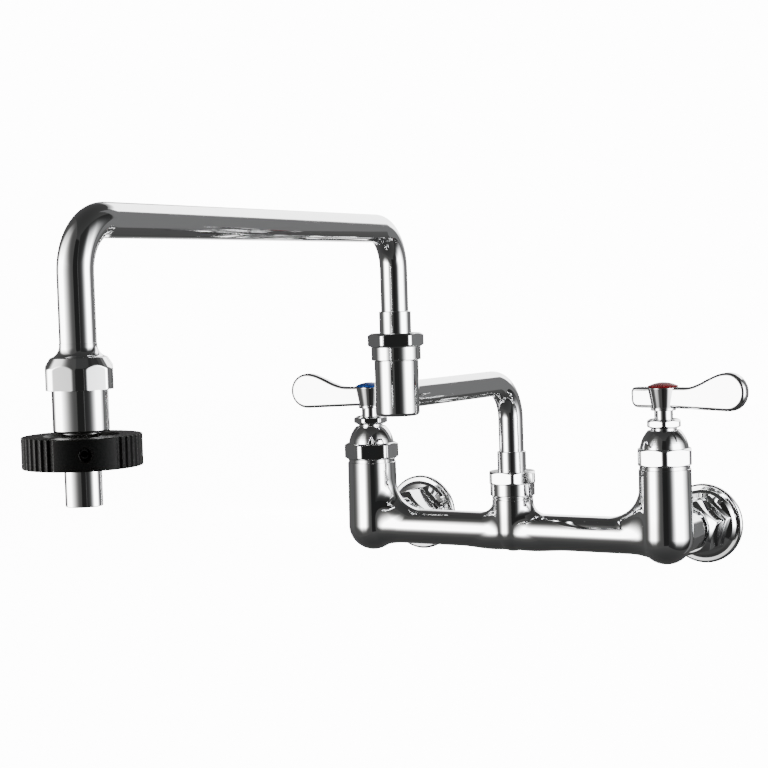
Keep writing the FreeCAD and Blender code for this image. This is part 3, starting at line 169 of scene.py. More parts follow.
class NodeTree:
    """Small helper that builds the node tree of a material or a world."""

    def __init__(self, owner: bpy.types.Material | bpy.types.World) -> None:
        """Start on the owner's own tree.

        Args:
            owner: material or world.
        """
        owner.use_nodes = True
        self.owner = owner
        self.nodes = owner.node_tree.nodes
        self.links = owner.node_tree.links

    @classmethod
    def principled(cls, name: str) -> "NodeTree":
        """Tree of a new material, whose shader is at hand."""
        return cls(bpy.data.materials.new(name))

    @property
    def shader(self) -> bpy.types.Node:
        """The material's Principled shader."""
        return self.nodes["Principled BSDF"]

    def plug(self, socket: bpy.types.NodeSocket, value: Value) -> None:
        """Link a socket to another, or set its value."""
        if isinstance(value, bpy.types.NodeSocket):
            self.links.new(value, socket)
        else:
            socket.default_value = value

    def node(self, kind: str, result: str, inputs: dict[str | int, Value],
             **settings: str) -> bpy.types.NodeSocket:
        """Add a node.

        Args:
            kind: end of its type's name.
            result: name of the output to return.
            inputs: sockets or values by input name or number.
            settings: properties set before the inputs.

        Returns:
            The named output.
        """
        node = self.nodes.new(f"ShaderNode{kind}")
        for key, setting in settings.items():
            setattr(node, key, setting)
        for key, value in inputs.items():
            self.plug(node.inputs[key], value)
        return node.outputs[result]

    def math(self, operation: str, *values: Value) -> bpy.types.NodeSocket:
        """Result of a math node on sockets and numbers."""
        return self.node("Math", "Value", dict(enumerate(values)), operation=operation)

    def place(self) -> bpy.types.NodeSocket:
        """Object coordinates in metres."""
        return self.node("TexCoord", "Object", {})

    def noise(self, size: float, detail: float) -> bpy.types.NodeSocket:
        """Noise whose patches are about size millimetres wide."""
        inputs = {"Vector": self.place(), "Scale": 1.0 / (size * MM), "Detail": detail}
        return self.node("TexNoise", "Fac", inputs)

    def bands(self, direction: tuple[float, float, float]) -> bpy.types.NodeSocket:
        """Fine lines square to a direction: noise that is stretched thin along it."""
        scale = tuple(BAND_ACROSS + BAND_ALONG * part for part in direction)
        stretched = self.node("Mapping", "Vector", {"Vector": self.place(), "Scale": scale})
        return self.node("TexNoise", "Fac", {"Vector": stretched, "Scale": 1.0, "Detail": 2.0})

    def range_to(self, value: bpy.types.NodeSocket, span: tuple[float, float], result: tuple[float, float],
                 shape: str = "LINEAR") -> bpy.types.NodeSocket:
        """Map a value's span to another one, clamped at both ends."""
        return self.node("MapRange", "Result", {"Value": value, "From Min": span[0], "From Max": span[1],
                                                "To Min": result[0], "To Max": result[1]},
                         interpolation_type=shape)

    def mixed(self, share: bpy.types.NodeSocket, first: Value, second: Value) -> bpy.types.NodeSocket:
        """Mix two colours by a share."""
        return self.node("Mix", "Result", {"Factor": share, "A": first, "B": second}, data_type="RGBA")

    def bump(self, height: bpy.types.NodeSocket) -> None:
        """Use a height in metres as the shader's bump."""
        normal = self.node("Bump", "Normal", {"Distance": 1.0, "Height": height})
        self.plug(self.shader.inputs["Normal"], normal)


CHROME = (0.86, 0.865, 0.87)
CAST_CHROME = Metal("cast_chrome", CHROME, roughness=0.03, ripple=0.05, ripple_size=16.0)
TURNED_CHROME = Metal("turned_chrome", CHROME, roughness=0.035, lines=0.0006, grain=Grain.RINGS_Z)
WALL_CHROME = Metal("wall_chrome", CHROME, roughness=0.035, lines=0.0006, grain=Grain.RINGS_Y)
TUBE_CHROME = Metal("tube_chrome", CHROME, roughness=0.04, ripple=0.02, ripple_size=20.0)
BRASS = Metal("machined_brass", (0.78, 0.60, 0.28), roughness=0.22, lines=0.004, grain=Grain.RINGS_Z)
STEEL = Metal("screw_steel", (0.60, 0.60, 0.62), roughness=0.2, lines=0.003, grain=Grain.RINGS_Z)
RUBBER = Moulding("black_rubber", (0.018, 0.018, 0.018), (0.030, 0.030, 0.031), roughness=0.62)
CERAMIC = Moulding("white_ceramic", (0.88, 0.88, 0.85), (0.92, 0.92, 0.90), roughness=0.15, grain_depth=0.001)
PTFE = Moulding("ptfe_packing", (0.86, 0.86, 0.84), (0.90, 0.90, 0.88), roughness=0.5)
COLD_BLUE = Moulding("cold_blue", (0.006, 0.030, 0.16), (0.009, 0.045, 0.21), roughness=0.35,
                     grain_depth=0.002, gloss=0.05)
HOT_RED = Moulding("hot_red", (0.13, 0.006, 0.009), (0.18, 0.009, 0.012), roughness=0.45, grain_depth=0.002,
                   gloss=0.05)
WHEEL_BLACK = Moulding("wheel_black", (0.0040, 0.0040, 0.0040), (0.0055, 0.0053, 0.0050), roughness=0.5,
                       grain_size=0.35, grain_depth=0.006, gloss=0.12)


# ---- Surfaces ----
@dataclass(frozen=True)
class Outline:
    """Samples along a turned piece's outline: radius, height and the outward normal's two parts."""

    radius: Array
    height: Array
    normal_r: Array
    normal_z: Array
    closed: bool


@dataclass(frozen=True)
class Skin:
    """Grid of points in millimetres with outward normals, rows by columns, closed round the columns.

    Attributes:
        points: array of rows, columns and x, y, z.
        normals: unit normals in the same layout.
        rows_closed: whether the last row joins the first.
    """

    points: Array
    normals: Array
    rows_closed: bool = False

    def moved(self, x: float, y: float, z: float = 0.0, turn: float = 0.0) -> "Skin":
        """Copy turned about Z by degrees and then moved."""
        angle = math.radians(turn)
        spin = np.array([[math.cos(angle), math.sin(angle), 0.0], [-math.sin(angle), math.cos(angle), 0.0],
                         [0.0, 0.0, 1.0]])
        return Skin(self.points @ spin + np.array([x, y, z]), self.normals @ spin, self.rows_closed)

    def from_wall(self, x: float) -> "Skin":
        """Copy that stands on the wall at x, its height pointing away from the wall."""
        lay = np.array([[1.0, 0.0, 0.0], [0.0, 0.0, 1.0], [0.0, -1.0, 0.0]])
        return Skin(self.points @ lay + np.array([x, 0.0, 0.0]), self.normals @ lay, self.rows_closed)


def outline(corners: Sequence[tuple[float, ...]], closed: bool = False, step: float = 1e9) -> Outline:
    """Sample a polygon of (radius, height, rounding) corners, run with the material on its left.

    Each corner becomes an arc that is tangent to both of its sides, with exact normals, and a side
    longer than step gets samples between its ends. The outward normal of a side with direction
    (dr, dz) is (dz, -dr).

    Args:
        corners: corners in order; the rounding may be left out.
        closed: whether the last corner joins the first, as on a ring.
        step: longest spacing of samples on a side.

    Returns:
        The samples, from the first corner to the last.
    """
    place = np.array([corner[:2] for corner in corners], float)
    rounds = [corner[2] if len(corner) > 2 else 0.0 for corner in corners]
    count = len(place)
    found: list[Array] = []
    for index in range(count):
        here = place[index]
        if not closed and index in (0, count - 1):
            other = place[1] if index == 0 else place[-2]
            along = (other - here) if index == 0 else (here - other)
            along = along / np.linalg.norm(along)
            found.append(np.array([[*here, along[1], -along[0]]]))
            continue
        before, after = place[index - 1], place[(index + 1) % count]
        way_in = (here - before) / np.linalg.norm(here - before)
        way_out = (after - here) / np.linalg.norm(after - here)
        turn = math.atan2(way_in[0] * way_out[1] - way_in[1] * way_out[0], float(way_in @ way_out))
        if abs(turn) < 1e-6:
            found.append(np.array([[*here, way_in[1], -way_in[0]]]))
            continue
        room = 0.49 * min(np.linalg.norm(here - before), np.linalg.norm(after - here))
        setback = min(max(rounds[index], 1e-3) * math.tan(abs(turn) / 2), room)
        radius = setback / math.tan(abs(turn) / 2)
        share = np.linspace(0.0, 1.0, max(3, math.ceil(abs(turn) / ARC_STEP)))
        angle = share * turn
        side = math.copysign(1.0, turn)
        start = here - way_in * setback
        left = np.array([-way_in[1], way_in[0]])
        centre = start + left * side * radius
        spoke_r = -left[0] * side * np.cos(angle) + left[1] * side * np.sin(angle)
        spoke_z = -left[0] * side * np.sin(angle) - left[1] * side * np.cos(angle)
        points = centre + radius * np.stack([spoke_r, spoke_z], 1)
        found.append(np.column_stack([points, side * spoke_r, side * spoke_z]))
    samples: list[Array] = []
    for index, run in enumerate(found):
        samples.append(run)
        if index + 1 < count or closed:
            samples.append(between(run[-1], found[(index + 1) % count][0], step))
    table = np.vstack(samples)
    return Outline(table[:, 0], table[:, 1], table[:, 2], table[:, 3], closed)


def between(first: Array, last: Array, step: float) -> Array:
    """Samples strictly between two outline samples, at most step apart, with the side's own normal."""
    gap = last[:2] - first[:2]
    length = float(np.linalg.norm(gap))
    pieces = int(length // step) + 1 if length > step else 1
    share = np.arange(1, pieces)[:, None] / pieces
    along = gap / max(length, TINY)
    normal = np.tile([along[1], -along[0]], (pieces - 1, 1))
    return np.column_stack([first[:2] + share * gap, normal])


def turn_steps(columns: int) -> Array:
    """Evenly spaced angles once round."""
    return np.arange(columns) * (2 * math.pi / columns)


def around(radius: Array, height: Array, angle: Array) -> Array:
    """Vectors (radius cos a, radius sin a, height) over rows and the angles a."""
    radius = np.broadcast_to(radius, (len(radius), len(angle)))
    height = np.broadcast_to(height, radius.shape)
    return np.stack([radius * np.cos(angle), radius * np.sin(angle), height], 2)


def normalised(vectors: Array) -> Array:
    """Vectors in the last axis of an array, brought to length one."""
    return vectors / np.maximum(np.linalg.norm(vectors, axis=-1, keepdims=True), TINY)


def spun(shape: Outline, columns: int = 144) -> Skin:
    """Surface of revolution about Z."""
    angle = turn_steps(columns)
    return Skin(around(shape.radius[:, None], shape.height[:, None], angle),
                around(shape.normal_r[:, None], shape.normal_z[:, None], angle), shape.closed)


def soft_min(first: Array, second: Array, soft: float) -> tuple[Array, Array]:
    """Smaller of two values, rounded over a width, and the share of the first in its slope."""
    share = np.clip(0.5 + 0.5 * (second - first) / soft, 0.0, 1.0)
    return second + (first - second) * share - soft * share * (1 - share), share


def turned_hexagon(shape: Outline, flats: float, corner: float, soft: float = 0.35,
                   columns: int = 240) -> Skin:
    """Turned piece with six flats: its radius is the smaller of the outline's and the hexagon's.

    The hexagon's radius at angle a is flats / 2 / cos(b), with b measured from the nearest flat's
    middle, and the two are joined by a rounded minimum, which gives soft arrises.

    Args:
        shape: turned outline, sampled closely where the flats cut it.
        flats: distance across the flats.
        corner: direction of one corner in degrees.
        soft: width of the rounded arris.
        columns: samples round the piece.

    Returns:
        The surface about Z.
    """
    angle = turn_steps(columns)
    sixth = math.pi / 3
    bend = np.mod(angle - math.radians(corner), sixth) - sixth / 2
    wall = flats / 2 / np.cos(bend)
    wall_slope = wall * np.tan(bend)
    radius, share = soft_min(shape.radius[:, None], wall[None, :], soft)
    radius = np.maximum(radius, 0.0)
    along_r = -shape.normal_z[:, None] * share
    along_z = np.broadcast_to(shape.normal_r[:, None], radius.shape)
    around_r = wall_slope[None, :] * (1 - share)
    cos, sin = np.cos(angle)[None, :], np.sin(angle)[None, :]
    points = around(radius, shape.height[:, None], angle)
    normal_r = along_z * radius
    normal_t = -along_z * around_r
    normal_z = -along_r * radius
    flat_ends = radius < 1e-6
    normal_z = np.where(flat_ends, shape.normal_z[:, None], normal_z)
    normals = np.stack([normal_r * cos - normal_t * sin, normal_r * sin + normal_t * cos, normal_z], 2)
    return Skin(points, normalised(normals), shape.closed)


def grid_normals(points: Array, rows_closed: bool) -> Array:
    """Unit normals of a grid that is closed round its columns, from differences of its neighbours."""
    across = np.roll(points, -1, 1) - np.roll(points, 1, 1)
    if rows_closed:
        along = np.roll(points, -1, 0) - np.roll(points, 1, 0)
    else:
        along = np.gradient(points, axis=0)
    return normalised(np.cross(across, along))


def bent_tube(corners: Sequence[Sequence[float]], bend: float, radius: float, columns: int = 96) -> Skin:
    """Circle carried along straight runs that tangent arcs of one bend radius join.

    The path lies in one plane, so each circle is spanned by the plane's normal and by the normal of
    the path within the plane.

    Args:
        corners: corners of the path.
        bend: radius of the arcs.
        radius: radius of the circle.
        columns: samples round the circle.

    Returns:
        The surface, open at both ends.
    """
    place = np.array(corners, float)
    flat = np.cross(place[1] - place[0], place[2] - place[1])
    flat /= np.linalg.norm(flat)
    centres, ways = [place[0]], [unit(place[1] - place[0])]
    for before, here, after in zip(place, place[1:], place[2:]):
        way_in, way_out = unit(here - before), unit(after - here)
        half = math.acos(float(np.clip(way_in @ way_out, -1, 1))) / 2
        start = here - way_in * bend * math.tan(half)
        inward = unit(way_out - way_in * float(way_in @ way_out))
        for turn in np.linspace(0.0, 2 * half, BEND_SAMPLES):
            centres.append(start + bend * (math.sin(turn) * way_in + (1 - math.cos(turn)) * inward))
            ways.append(math.cos(turn) * way_in + math.sin(turn) * inward)
    centres.append(place[-1])
    ways.append(unit(place[-1] - place[-2]))
    middle, way = np.array(centres), np.array(ways)
    side = np.cross(way, flat)
    angle = turn_steps(columns)
    spokes = side[:, None, :] * np.cos(angle)[None, :, None] + flat * np.sin(angle)[None, :, None]
    return Skin(middle[:, None, :] + radius * spokes, spokes)


def unit(vector: Array) -> Array:
    """Vector of length one."""
    return vector / np.linalg.norm(vector)


def surface_net(distance: Callable[[Array], Array], low: Array, high: Array,
                cell: float) -> tuple[Array, Array]:
    """Closed mesh of the zero surface of a distance function, one vertex per cell that it crosses.

    A cell's vertex is the mean of the points where its edges cross the surface. Each grid edge that
    crosses joins the vertices of the four cells round it with one quad.

    Args:
        distance: signed distance of points in the last axis of an array, negative inside.
        low: lowest corner of the grid.
        high: highest corner of the grid.
        cell: spacing of the grid.

    Returns:
        Vertices, and quads as indices with outward order.
    """
    axes = [np.arange(a, b + cell, cell) for a, b in zip(low, high)]
    grid = np.stack(np.meshgrid(*axes, indexing="ij"), 3)
    value = distance(grid)
    size = np.array(value.shape) - 1
    total = np.zeros((*size, 3))
    hits = np.zeros(tuple(size))
    for axis in range(3):
        for first in (0, 1):
            for second in (0, 1):
                near = [0, 0, 0]
                near[(axis + 1) % 3], near[(axis + 2) % 3] = first, second
                far = list(near)
                far[axis] = 1
                cut_a = tuple(slice(n, n + s) for n, s in zip(near, size))
                cut_b = tuple(slice(n, n + s) for n, s in zip(far, size))
                a, b = value[cut_a], value[cut_b]
                crossed = (a < 0) != (b < 0)
                share = np.where(crossed, a / np.where(crossed, a - b, 1.0), 0.0)[..., None]
                total += crossed[..., None] * (grid[cut_a] + share * (grid[cut_b] - grid[cut_a]))
                hits += crossed
    active = hits > 0
    number = -np.ones(tuple(size), int)
    number[active] = np.arange(int(active.sum()))
    vertices = total[active] / hits[active][:, None]
    quads = []
    for axis in range(3):
        u, v = (axis + 1) % 3, (axis + 2) % 3
        core = [slice(1, s) for s in size]
        core[axis] = slice(0, size[axis])
        ahead = list(core)
        ahead[axis] = slice(1, size[axis] + 1)
        a, b = value[tuple(core)], value[tuple(ahead)]
        found = np.argwhere((a < 0) != (b < 0))
        outward = (a < 0)[tuple(found.T)]
        found[:, u] += 1
        found[:, v] += 1
        ring = []
        for step_u, step_v in ((-1, -1), (0, -1), (0, 0), (-1, 0)):
            spot = found.copy()
            spot[:, u] += step_u
            spot[:, v] += step_v
            ring.append(number[tuple(spot.T)])
        faces = np.stack(ring, 1)
        quads.append(np.where(outward[:, None], faces, faces[:, ::-1]))
    return vertices, np.vstack(quads)


def slope(distance: Callable[[Array], Array], points: Array, reach: float = 0.03) -> Array:
    """Gradient of a distance function by central differences."""
    parts = []
    for axis in range(3):
        shift = np.zeros(3)
        shift[axis] = reach
        parts.append(distance(points + shift) - distance(points - shift))
    return np.stack(parts, -1) / (2 * reach)


# ---- Making pieces ----
@dataclass
class Bench:
    """Turns surfaces into dressed pieces that ride on the frame's bodies."""

    materials: dict[str, bpy.types.Material] = field(default_factory=dict)
    triangles: int = 0

    def finish(self, kind: Metal | Moulding) -> bpy.types.Material:
        """Material of a finish, made once."""
        if kind.name not in self.materials:
            self.materials[kind.name] = kind.material()
        return self.materials[kind.name]

    def skin(self, name: str, skin: Skin, body: Body, kind: Metal | Moulding, *nodes: str,
             slot: str = "chrome") -> None:
        """Make a piece from a grid surface; the arguments other than skin are those of mesh."""
        rows, columns = skin.points.shape[:2]
        number = np.arange(rows * columns).reshape(rows, columns)
        ahead = np.roll(number, -1, 0) if skin.rows_closed else number[1:]
        here = number if skin.rows_closed else number[:-1]
        quads = np.stack([here, np.roll(here, -1, 1), np.roll(ahead, -1, 1), ahead], 2).reshape(-1, 4)
        self.mesh(name, skin.points.reshape(-1, 3), quads, skin.normals.reshape(-1, 3), body, kind, *nodes,
                  slot=slot)

    def mesh(self, name: str, points: Array, quads: Array, normals: Array, body: Body,
             kind: Metal | Moulding, *nodes: str, slot: str = "chrome") -> None:
        """Weld, orient and dress a mesh of quads given in millimetres.

        Args:
            name: name of the piece.
            points: vertices.
            quads: faces as four indices each.
            normals: outward unit normals of the vertices.
            body: the body on which it rides.
            kind: its finish.
            nodes: CAD nodes for which it stands.
            slot: the record's material slot; not used.
        """
        _, kept, joined = np.unique(np.round(points, 4), axis=0, return_index=True, return_inverse=True)
        joined = joined.reshape(-1)
        total = np.zeros((len(kept), 3))
        np.add.at(total, joined, normals)
        normals = normalised(total)
        points = points[kept]
        quads = joined[quads]
        edge_a = points[quads[:, 2]] - points[quads[:, 0]]
        edge_b = points[quads[:, 3]] - points[quads[:, 1]]
        lean = np.einsum("ij,ij->i", np.cross(edge_a, edge_b), normals[quads].sum(1))
        if lean.sum() < 0:
            quads = quads[:, ::-1]
        faces = []
        double = quads == np.roll(quads, -1, 1)
        faces += quads[~double.any(1)].tolist()
        single = double.sum(1) == 1
        faces += quads[single][~double[single]].reshape(-1, 3).tolist()
        mesh = bpy.data.meshes.new(name)
        mesh.from_pydata((points * MM).tolist(), [], faces)
        mesh.shade_smooth()
        mesh.normals_split_custom_set_from_vertices(normals.tolist())
        mesh.materials.append(self.finish(kind))
        piece = bpy.data.objects.new(name, mesh)
        bpy.context.scene.collection.objects.link(piece)
        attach(piece, body.value)
        if nodes:
            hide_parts(*nodes)
        count = sum(len(face) - 2 for face in faces)
        self.triangles += count
        LOG.info("%s: %d triangles on %s", name, count, body.value)

    def dress(self, node: str, kind: Metal | Moulding) -> None:
        """Give a CAD node a finish in place of its plain one."""
        slots = frame["nodes"][node].data.materials
        slots.clear()
        slots.append(self.finish(kind))
        LOG.info("%s: dressed in %s", node, kind.name)


# ---- Wall connections ----
@dataclass
class WallConnection:
    """Flange, union and tailpiece of one supply. Heights are distances from the wall, in millimetres."""

    side: str
    x: float
    tilt: float = 14.0
    flange_radius: float = 25.1
    rim: float = 3.4
    step: float = 3.6
    shoulder: float = 8.6
    dome: float = 6.2
    flange_flats: float = 33.0
    flange_corners: float = 19.4
    nose_foot: float = 12.7
    nose_face: float = 24.0
    nose_radius: float = 13.1
    supply_radius: float = 10.48
    supply_depth: float = 13.0
    thread_pitch: float = 1.814
    thread_depth: float = 0.9
    waterway: float = 7.0
    nut_flats: float = 31.75
    nut_corners: float = 18.1
    nut_back: float = 13.3
    nut_front: float = 32.3
    nut_face: float = 14.5
    nut_taper: float = 4.5
    tail_radius: float = 10.9
    tail_back: float = 26.0
    tail_front: float = 49.3
    collar: float = 12.5
    collar_front: float = 29.5
    thread_columns: int = 96
    thread_step: float = 0.16
    thread_start: float = 0.4
    thread_stop: float = 0.2
    thread_fade: float = 1.2

    def build(self, bench: Bench) -> None:
        """Make the flange, its hexagon and thread, the union nut and the tailpiece."""
        pieces = (
            ("flange_plate", spun(self.plate()), WALL_CHROME, "wall_flange"),
            ("flange_hexagon", turned_hexagon(self.block(), self.flange_flats, self.tilt), WALL_CHROME,
             "wall_flange"),
            ("union_hexagon", turned_hexagon(self.nut(), self.nut_flats, self.tilt, 0.5), WALL_CHROME,
             "union_nut"),
            ("nipple", spun(self.tail()), WALL_CHROME, "tailpiece"),
            ("supply_thread", self.thread(), BRASS, "wall_flange"))
        for ending, skin, kind, node in pieces:
            bench.skin(f"{self.side}_{ending}", skin.from_wall(self.x), Body.BASE, kind,
                       f"{self.side}_{node}")

    def block(self) -> Outline:
        """Outline of the flange's hexagon, its front corners turned down."""
        drop = (self.flange_corners - self.flange_flats / 2) * CHAMFER_SLOPE
        back = self.dome - 1.0
        return outline([(self.supply_radius, back), (self.flange_corners, back),
                        (self.flange_corners, self.nose_foot - drop, 0.4),
                        (self.flange_flats / 2 - 0.2, self.nose_foot, 0.4),
                        (self.supply_radius, self.nose_foot)], step=0.5)

    def nut(self) -> Outline:
        """Outline of the union nut, its front drawn in to the tailpiece."""
        bore = self.tail_radius + 0.1
        return outline([(bore, self.nut_back), (self.nut_flats / 2 - 0.3, self.nut_back, 0.4),
                        (self.nut_corners, self.nut_back + 1.4, 0.4),
                        (self.nut_corners, self.nut_front - self.nut_taper, 1.0),
                        (self.nut_face, self.nut_front, 0.6), (bore, self.nut_front, 0.2)],
                       closed=True, step=0.5)

    def tail(self) -> Outline:
        """Outline of the tailpiece, with the collar that the nut draws forward."""
        return outline([(self.waterway, self.tail_back), (self.collar, self.tail_back, 0.3),
                        (self.collar, self.collar_front, 0.3), (self.tail_radius, self.collar_front),
                        (self.tail_radius, self.tail_front, 0.4), (self.waterway, self.tail_front, 0.2)],
                       closed=True)

    def plate(self) -> Outline:
        """Outline of the flange: flat back, rolled rim, low dome, nose and the supply hole."""
        hole = self.supply_radius + self.thread_depth * 0.35
        r = self.flange_radius
        return outline([(hole, 0.0, 0.5), (r, 0.0, 0.5), (r, self.rim, 2.0), (r - self.step, self.rim, 0.6),
                        (r - self.step - 1.8, self.dome - 1.2, 2.0), (r - self.shoulder, self.dome, 2.2),
                        (self.nose_radius, self.dome), (self.nose_radius, self.nose_face, 0.8),
                        (self.waterway, self.nose_face, 0.3), (self.waterway, self.supply_depth, 0.3),
                        (hole, self.supply_depth)], closed=True)

    def thread(self) -> Skin:
        """Female pipe thread: r = R - d * wave(z / pitch - a / 2 pi), faded out at both ends."""
        angle = turn_steps(self.thread_columns)
        end = self.supply_depth - self.thread_stop
        height = np.arange(self.thread_start, end, self.thread_step)
        phase = height[:, None] / self.thread_pitch - angle[None, :] / (2 * math.pi)
        wave = np.abs(np.mod(phase, 1.0) * 2 - 1)
        inside = np.minimum(height - self.thread_start, end - height)
        fade = np.clip(inside / self.thread_fade, 0.0, 1.0)[:, None]
        radius = self.supply_radius + self.thread_depth * 0.3 - self.thread_depth * wave * fade
        points = around(radius, height[:, None], angle)
        return Skin(points, -grid_normals(points, False))



# ---- Mixing body ----
@dataclass
class Casting:
    """One casting: crossbar, barrels, riser and rear branches, blended by swept fillets."""

    valve_x: float = 101.6
    valve_y: float = -67.5
    bar: float = 11.2
    barrel: float = 16.3
    barrel_top: float = 15.7
    barrel_height: float = 43.5
    rim_height: float = 2.2
    rim_step: float = 0.5
    rim_bore: float = 12.0
    riser: float = 12.9
    riser_height: float = 22.0
    groove_drop: float = 1.9
    groove_width: float = 0.7
    groove_depth: float = 0.8
    neck: float = 12.0
    neck_top: float = 29.4
    neck_bore: float = 9.1
    branch: float = 13.4
    branch_bore: float = 10.95
    branch_end: float = 31.2
    barrel_fillet: float = 18.0
    barrel_fillet_growth: float = 2.0
    riser_fillet: float = 14.0
    riser_fillet_top: float = 9.0
    riser_fillet_bottom: float = 36.0
    branch_fillet: float = 4.0
    cell: float = 0.8
    cut_back: float = 3.5
    net_low: tuple[float, float, float] = (-18.4, -17.8, -18.2)
    net_high: tuple[float, float, float] = (18.4, 33.0, 1.0)
    proud: float = 0.02

    def distance(self, points: Array) -> Array:
        """Signed distance of the casting: rods with round ends, joined by rolling-ball fillets.

        Each rod is the distance from its axis less its radius. The fillets' radius changes with height,
        from the underside to the top, as on the casting.
        """
        x = points[..., 0]
        y = points[..., 1] - self.valve_y
        z = points[..., 2]
        side = np.where(x < 0, -1.0, 1.0)
        off = np.abs(x) - self.valve_x
        level = np.clip(z / self.bar, -1.0, 1.0)
        bar = rod(np.zeros_like(x), y, z, self.bar)
        taper = (self.barrel - self.barrel_top) * np.clip(z, 0.0, self.barrel_height) / self.barrel_height
        barrel = rod(off * side, y, np.minimum(z, 0.0), self.barrel - taper)
        riser = rod(x, y, np.minimum(z, 0.0), self.riser)
        branch = rod(off * side, np.minimum(y, 0.0), z, self.branch)
        body = ball_union(bar, barrel, self.barrel_fillet + self.barrel_fillet_growth * level)
        beyond = np.abs(x) > self.valve_x + 0.5 * self.barrel
        body = np.where(beyond[..., None], barrel, body)
        riser_fillet = np.where(level > 0, self.riser_fillet_top, self.riser_fillet_bottom)
        riser_fillet = self.riser_fillet + (riser_fillet - self.riser_fillet) * np.abs(level)
        body = ball_union(body, riser, riser_fillet)
        body = ball_union(body, branch, np.full_like(z, self.branch_fillet))
        top = np.where(np.abs(off) < self.valve_x / 2, self.barrel_height - self.cut_back,
                       self.riser_height - self.cut_back + 1.6)
        reach = np.maximum(body[..., 0], z - top)
        return np.maximum(reach, y - (self.branch_end - self.cut_back + 1.0))

    def build(self, bench: Bench) -> None:
        """Make the casting and its turned rims."""
        low = np.array([-self.valve_x, self.valve_y, 0.0]) + self.net_low
        high = np.array([self.valve_x, self.valve_y, self.barrel_height]) + self.net_high
        points, quads = surface_net(self.distance, low, high, self.cell)
        for _ in range(3):
            lean = slope(self.distance, points)
            size = np.maximum((lean ** 2).sum(1), 0.25)
            points = points - lean * (np.clip(self.distance(points), -0.3, 0.3) / size)[:, None]
        normals = normalised(slope(self.distance, points))
        bench.mesh("mixing_casting", points, quads, normals, Body.BASE, CAST_CHROME, "mixing_body")
        for side, x in (("left", -self.valve_x), ("right", self.valve_x)):
            rim = spun(self.barrel_rim()).moved(x, self.valve_y)
            bench.skin(f"{side}_barrel_rim", rim, Body.BASE, CAST_CHROME, "mixing_body")
            bench.skin(f"{side}_branch_rim", self.branch_rim(x), Body.BASE, CAST_CHROME, "mixing_body")
        bench.skin("riser_rim", spun(self.riser_rim()).moved(0.0, self.valve_y), Body.BASE, CAST_CHROME,
                   "mixing_body")

    def barrel_rim(self) -> Outline:
        """Top of a barrel: the end of its taper, a fine step and the band under the bonnet."""
        top = self.barrel_height
        low = top - self.cut_back - 1.5
        band = top - self.rim_height
        rate = (self.barrel - self.barrel_top) / top
        inner = self.barrel_top - self.rim_step
        return outline([(self.rim_bore, low), (self.barrel - rate * low + self.proud, low),
                        (self.barrel - rate * band + self.proud, band, 0.25), (inner, band + 0.1, 0.1),
                        (inner, top, 0.3), (self.rim_bore, top)], closed=True)

    def riser_rim(self) -> Outline:
        """Top of the riser, with its groove and its threaded neck."""
        low = self.riser_height - self.cut_back
        skin = self.riser + self.proud
        groove = self.riser_height - self.groove_drop
        lip, floor = groove + self.groove_width, self.riser - self.groove_depth
        return outline([(self.neck_bore, low), (skin, low), (skin, groove, 0.15), (floor, groove, 0.1),
                        (floor, lip, 0.1), (skin, lip, 0.15), (skin, self.riser_height, 0.3),
                        (self.neck, self.riser_height), (self.neck, self.neck_top, 0.5),
                        (self.neck_bore, self.neck_top)], closed=True)

    def branch_rim(self, x: float) -> Skin:
        """Rounded end of a rear branch, about the supply's axis."""
        face = -self.valve_y - self.branch_end
        skin = self.branch + self.proud
        foot = face + self.cut_back + 1.0
        ring = outline([(self.branch_bore, face), (skin, face, 1.5), (skin, foot),
                        (self.branch_bore, foot)], closed=True)
        return spun(ring).from_wall(x)


def rod(x: Array, y: Array, z: Array, radius: Array | float) -> Array:
    """Distance to a rod whose axis is where the offsets are zero, and in columns 1 to 3 its direction."""
    length = np.maximum(np.sqrt(x * x + y * y + z * z), 1e-6)
    return np.stack([length - radius, x / length, y / length, z / length], -1)


def ball_union(first: Array, second: Array, radius: Array) -> Array:
    """Union of two distances, filled where a ball of the given radius can't reach.

    With c the cosine between the two directions, the way from a point to the ball's centre is
    a * first direction + b * second direction, where a = ((R - p) - c (R - q)) / (1 - c^2) and b is the
    same with p and q exchanged. Where both are positive the distance is R less that way's length,
    and elsewhere it is the smaller of p and q.

    Args:
        first: distance and direction of one shape in the last axis.
        second: the same of the other.
        radius: radius of the ball at each point.

    Returns:
        Distance and direction of the union.
    """
    p, q = radius - first[..., 0], radius - second[..., 0]
    c = (first[..., 1:] * second[..., 1:]).sum(-1)
    share = np.maximum(1.0 - c * c, 1e-4)
    a, b = (p - c * q) / share, (q - c * p) / share
    way = a[..., None] * first[..., 1:] + b[..., None] * second[..., 1:]
    length = np.maximum(np.linalg.norm(way, axis=-1), 1e-6)
    filled = np.concatenate([(radius - length)[..., None], way / length[..., None]], -1)
    nearer = np.where((first[..., 0] < second[..., 0])[..., None], first, second)
    return np.where(((a > 0) & (b > 0) & (p > 0) & (q > 0))[..., None], filled, nearer)


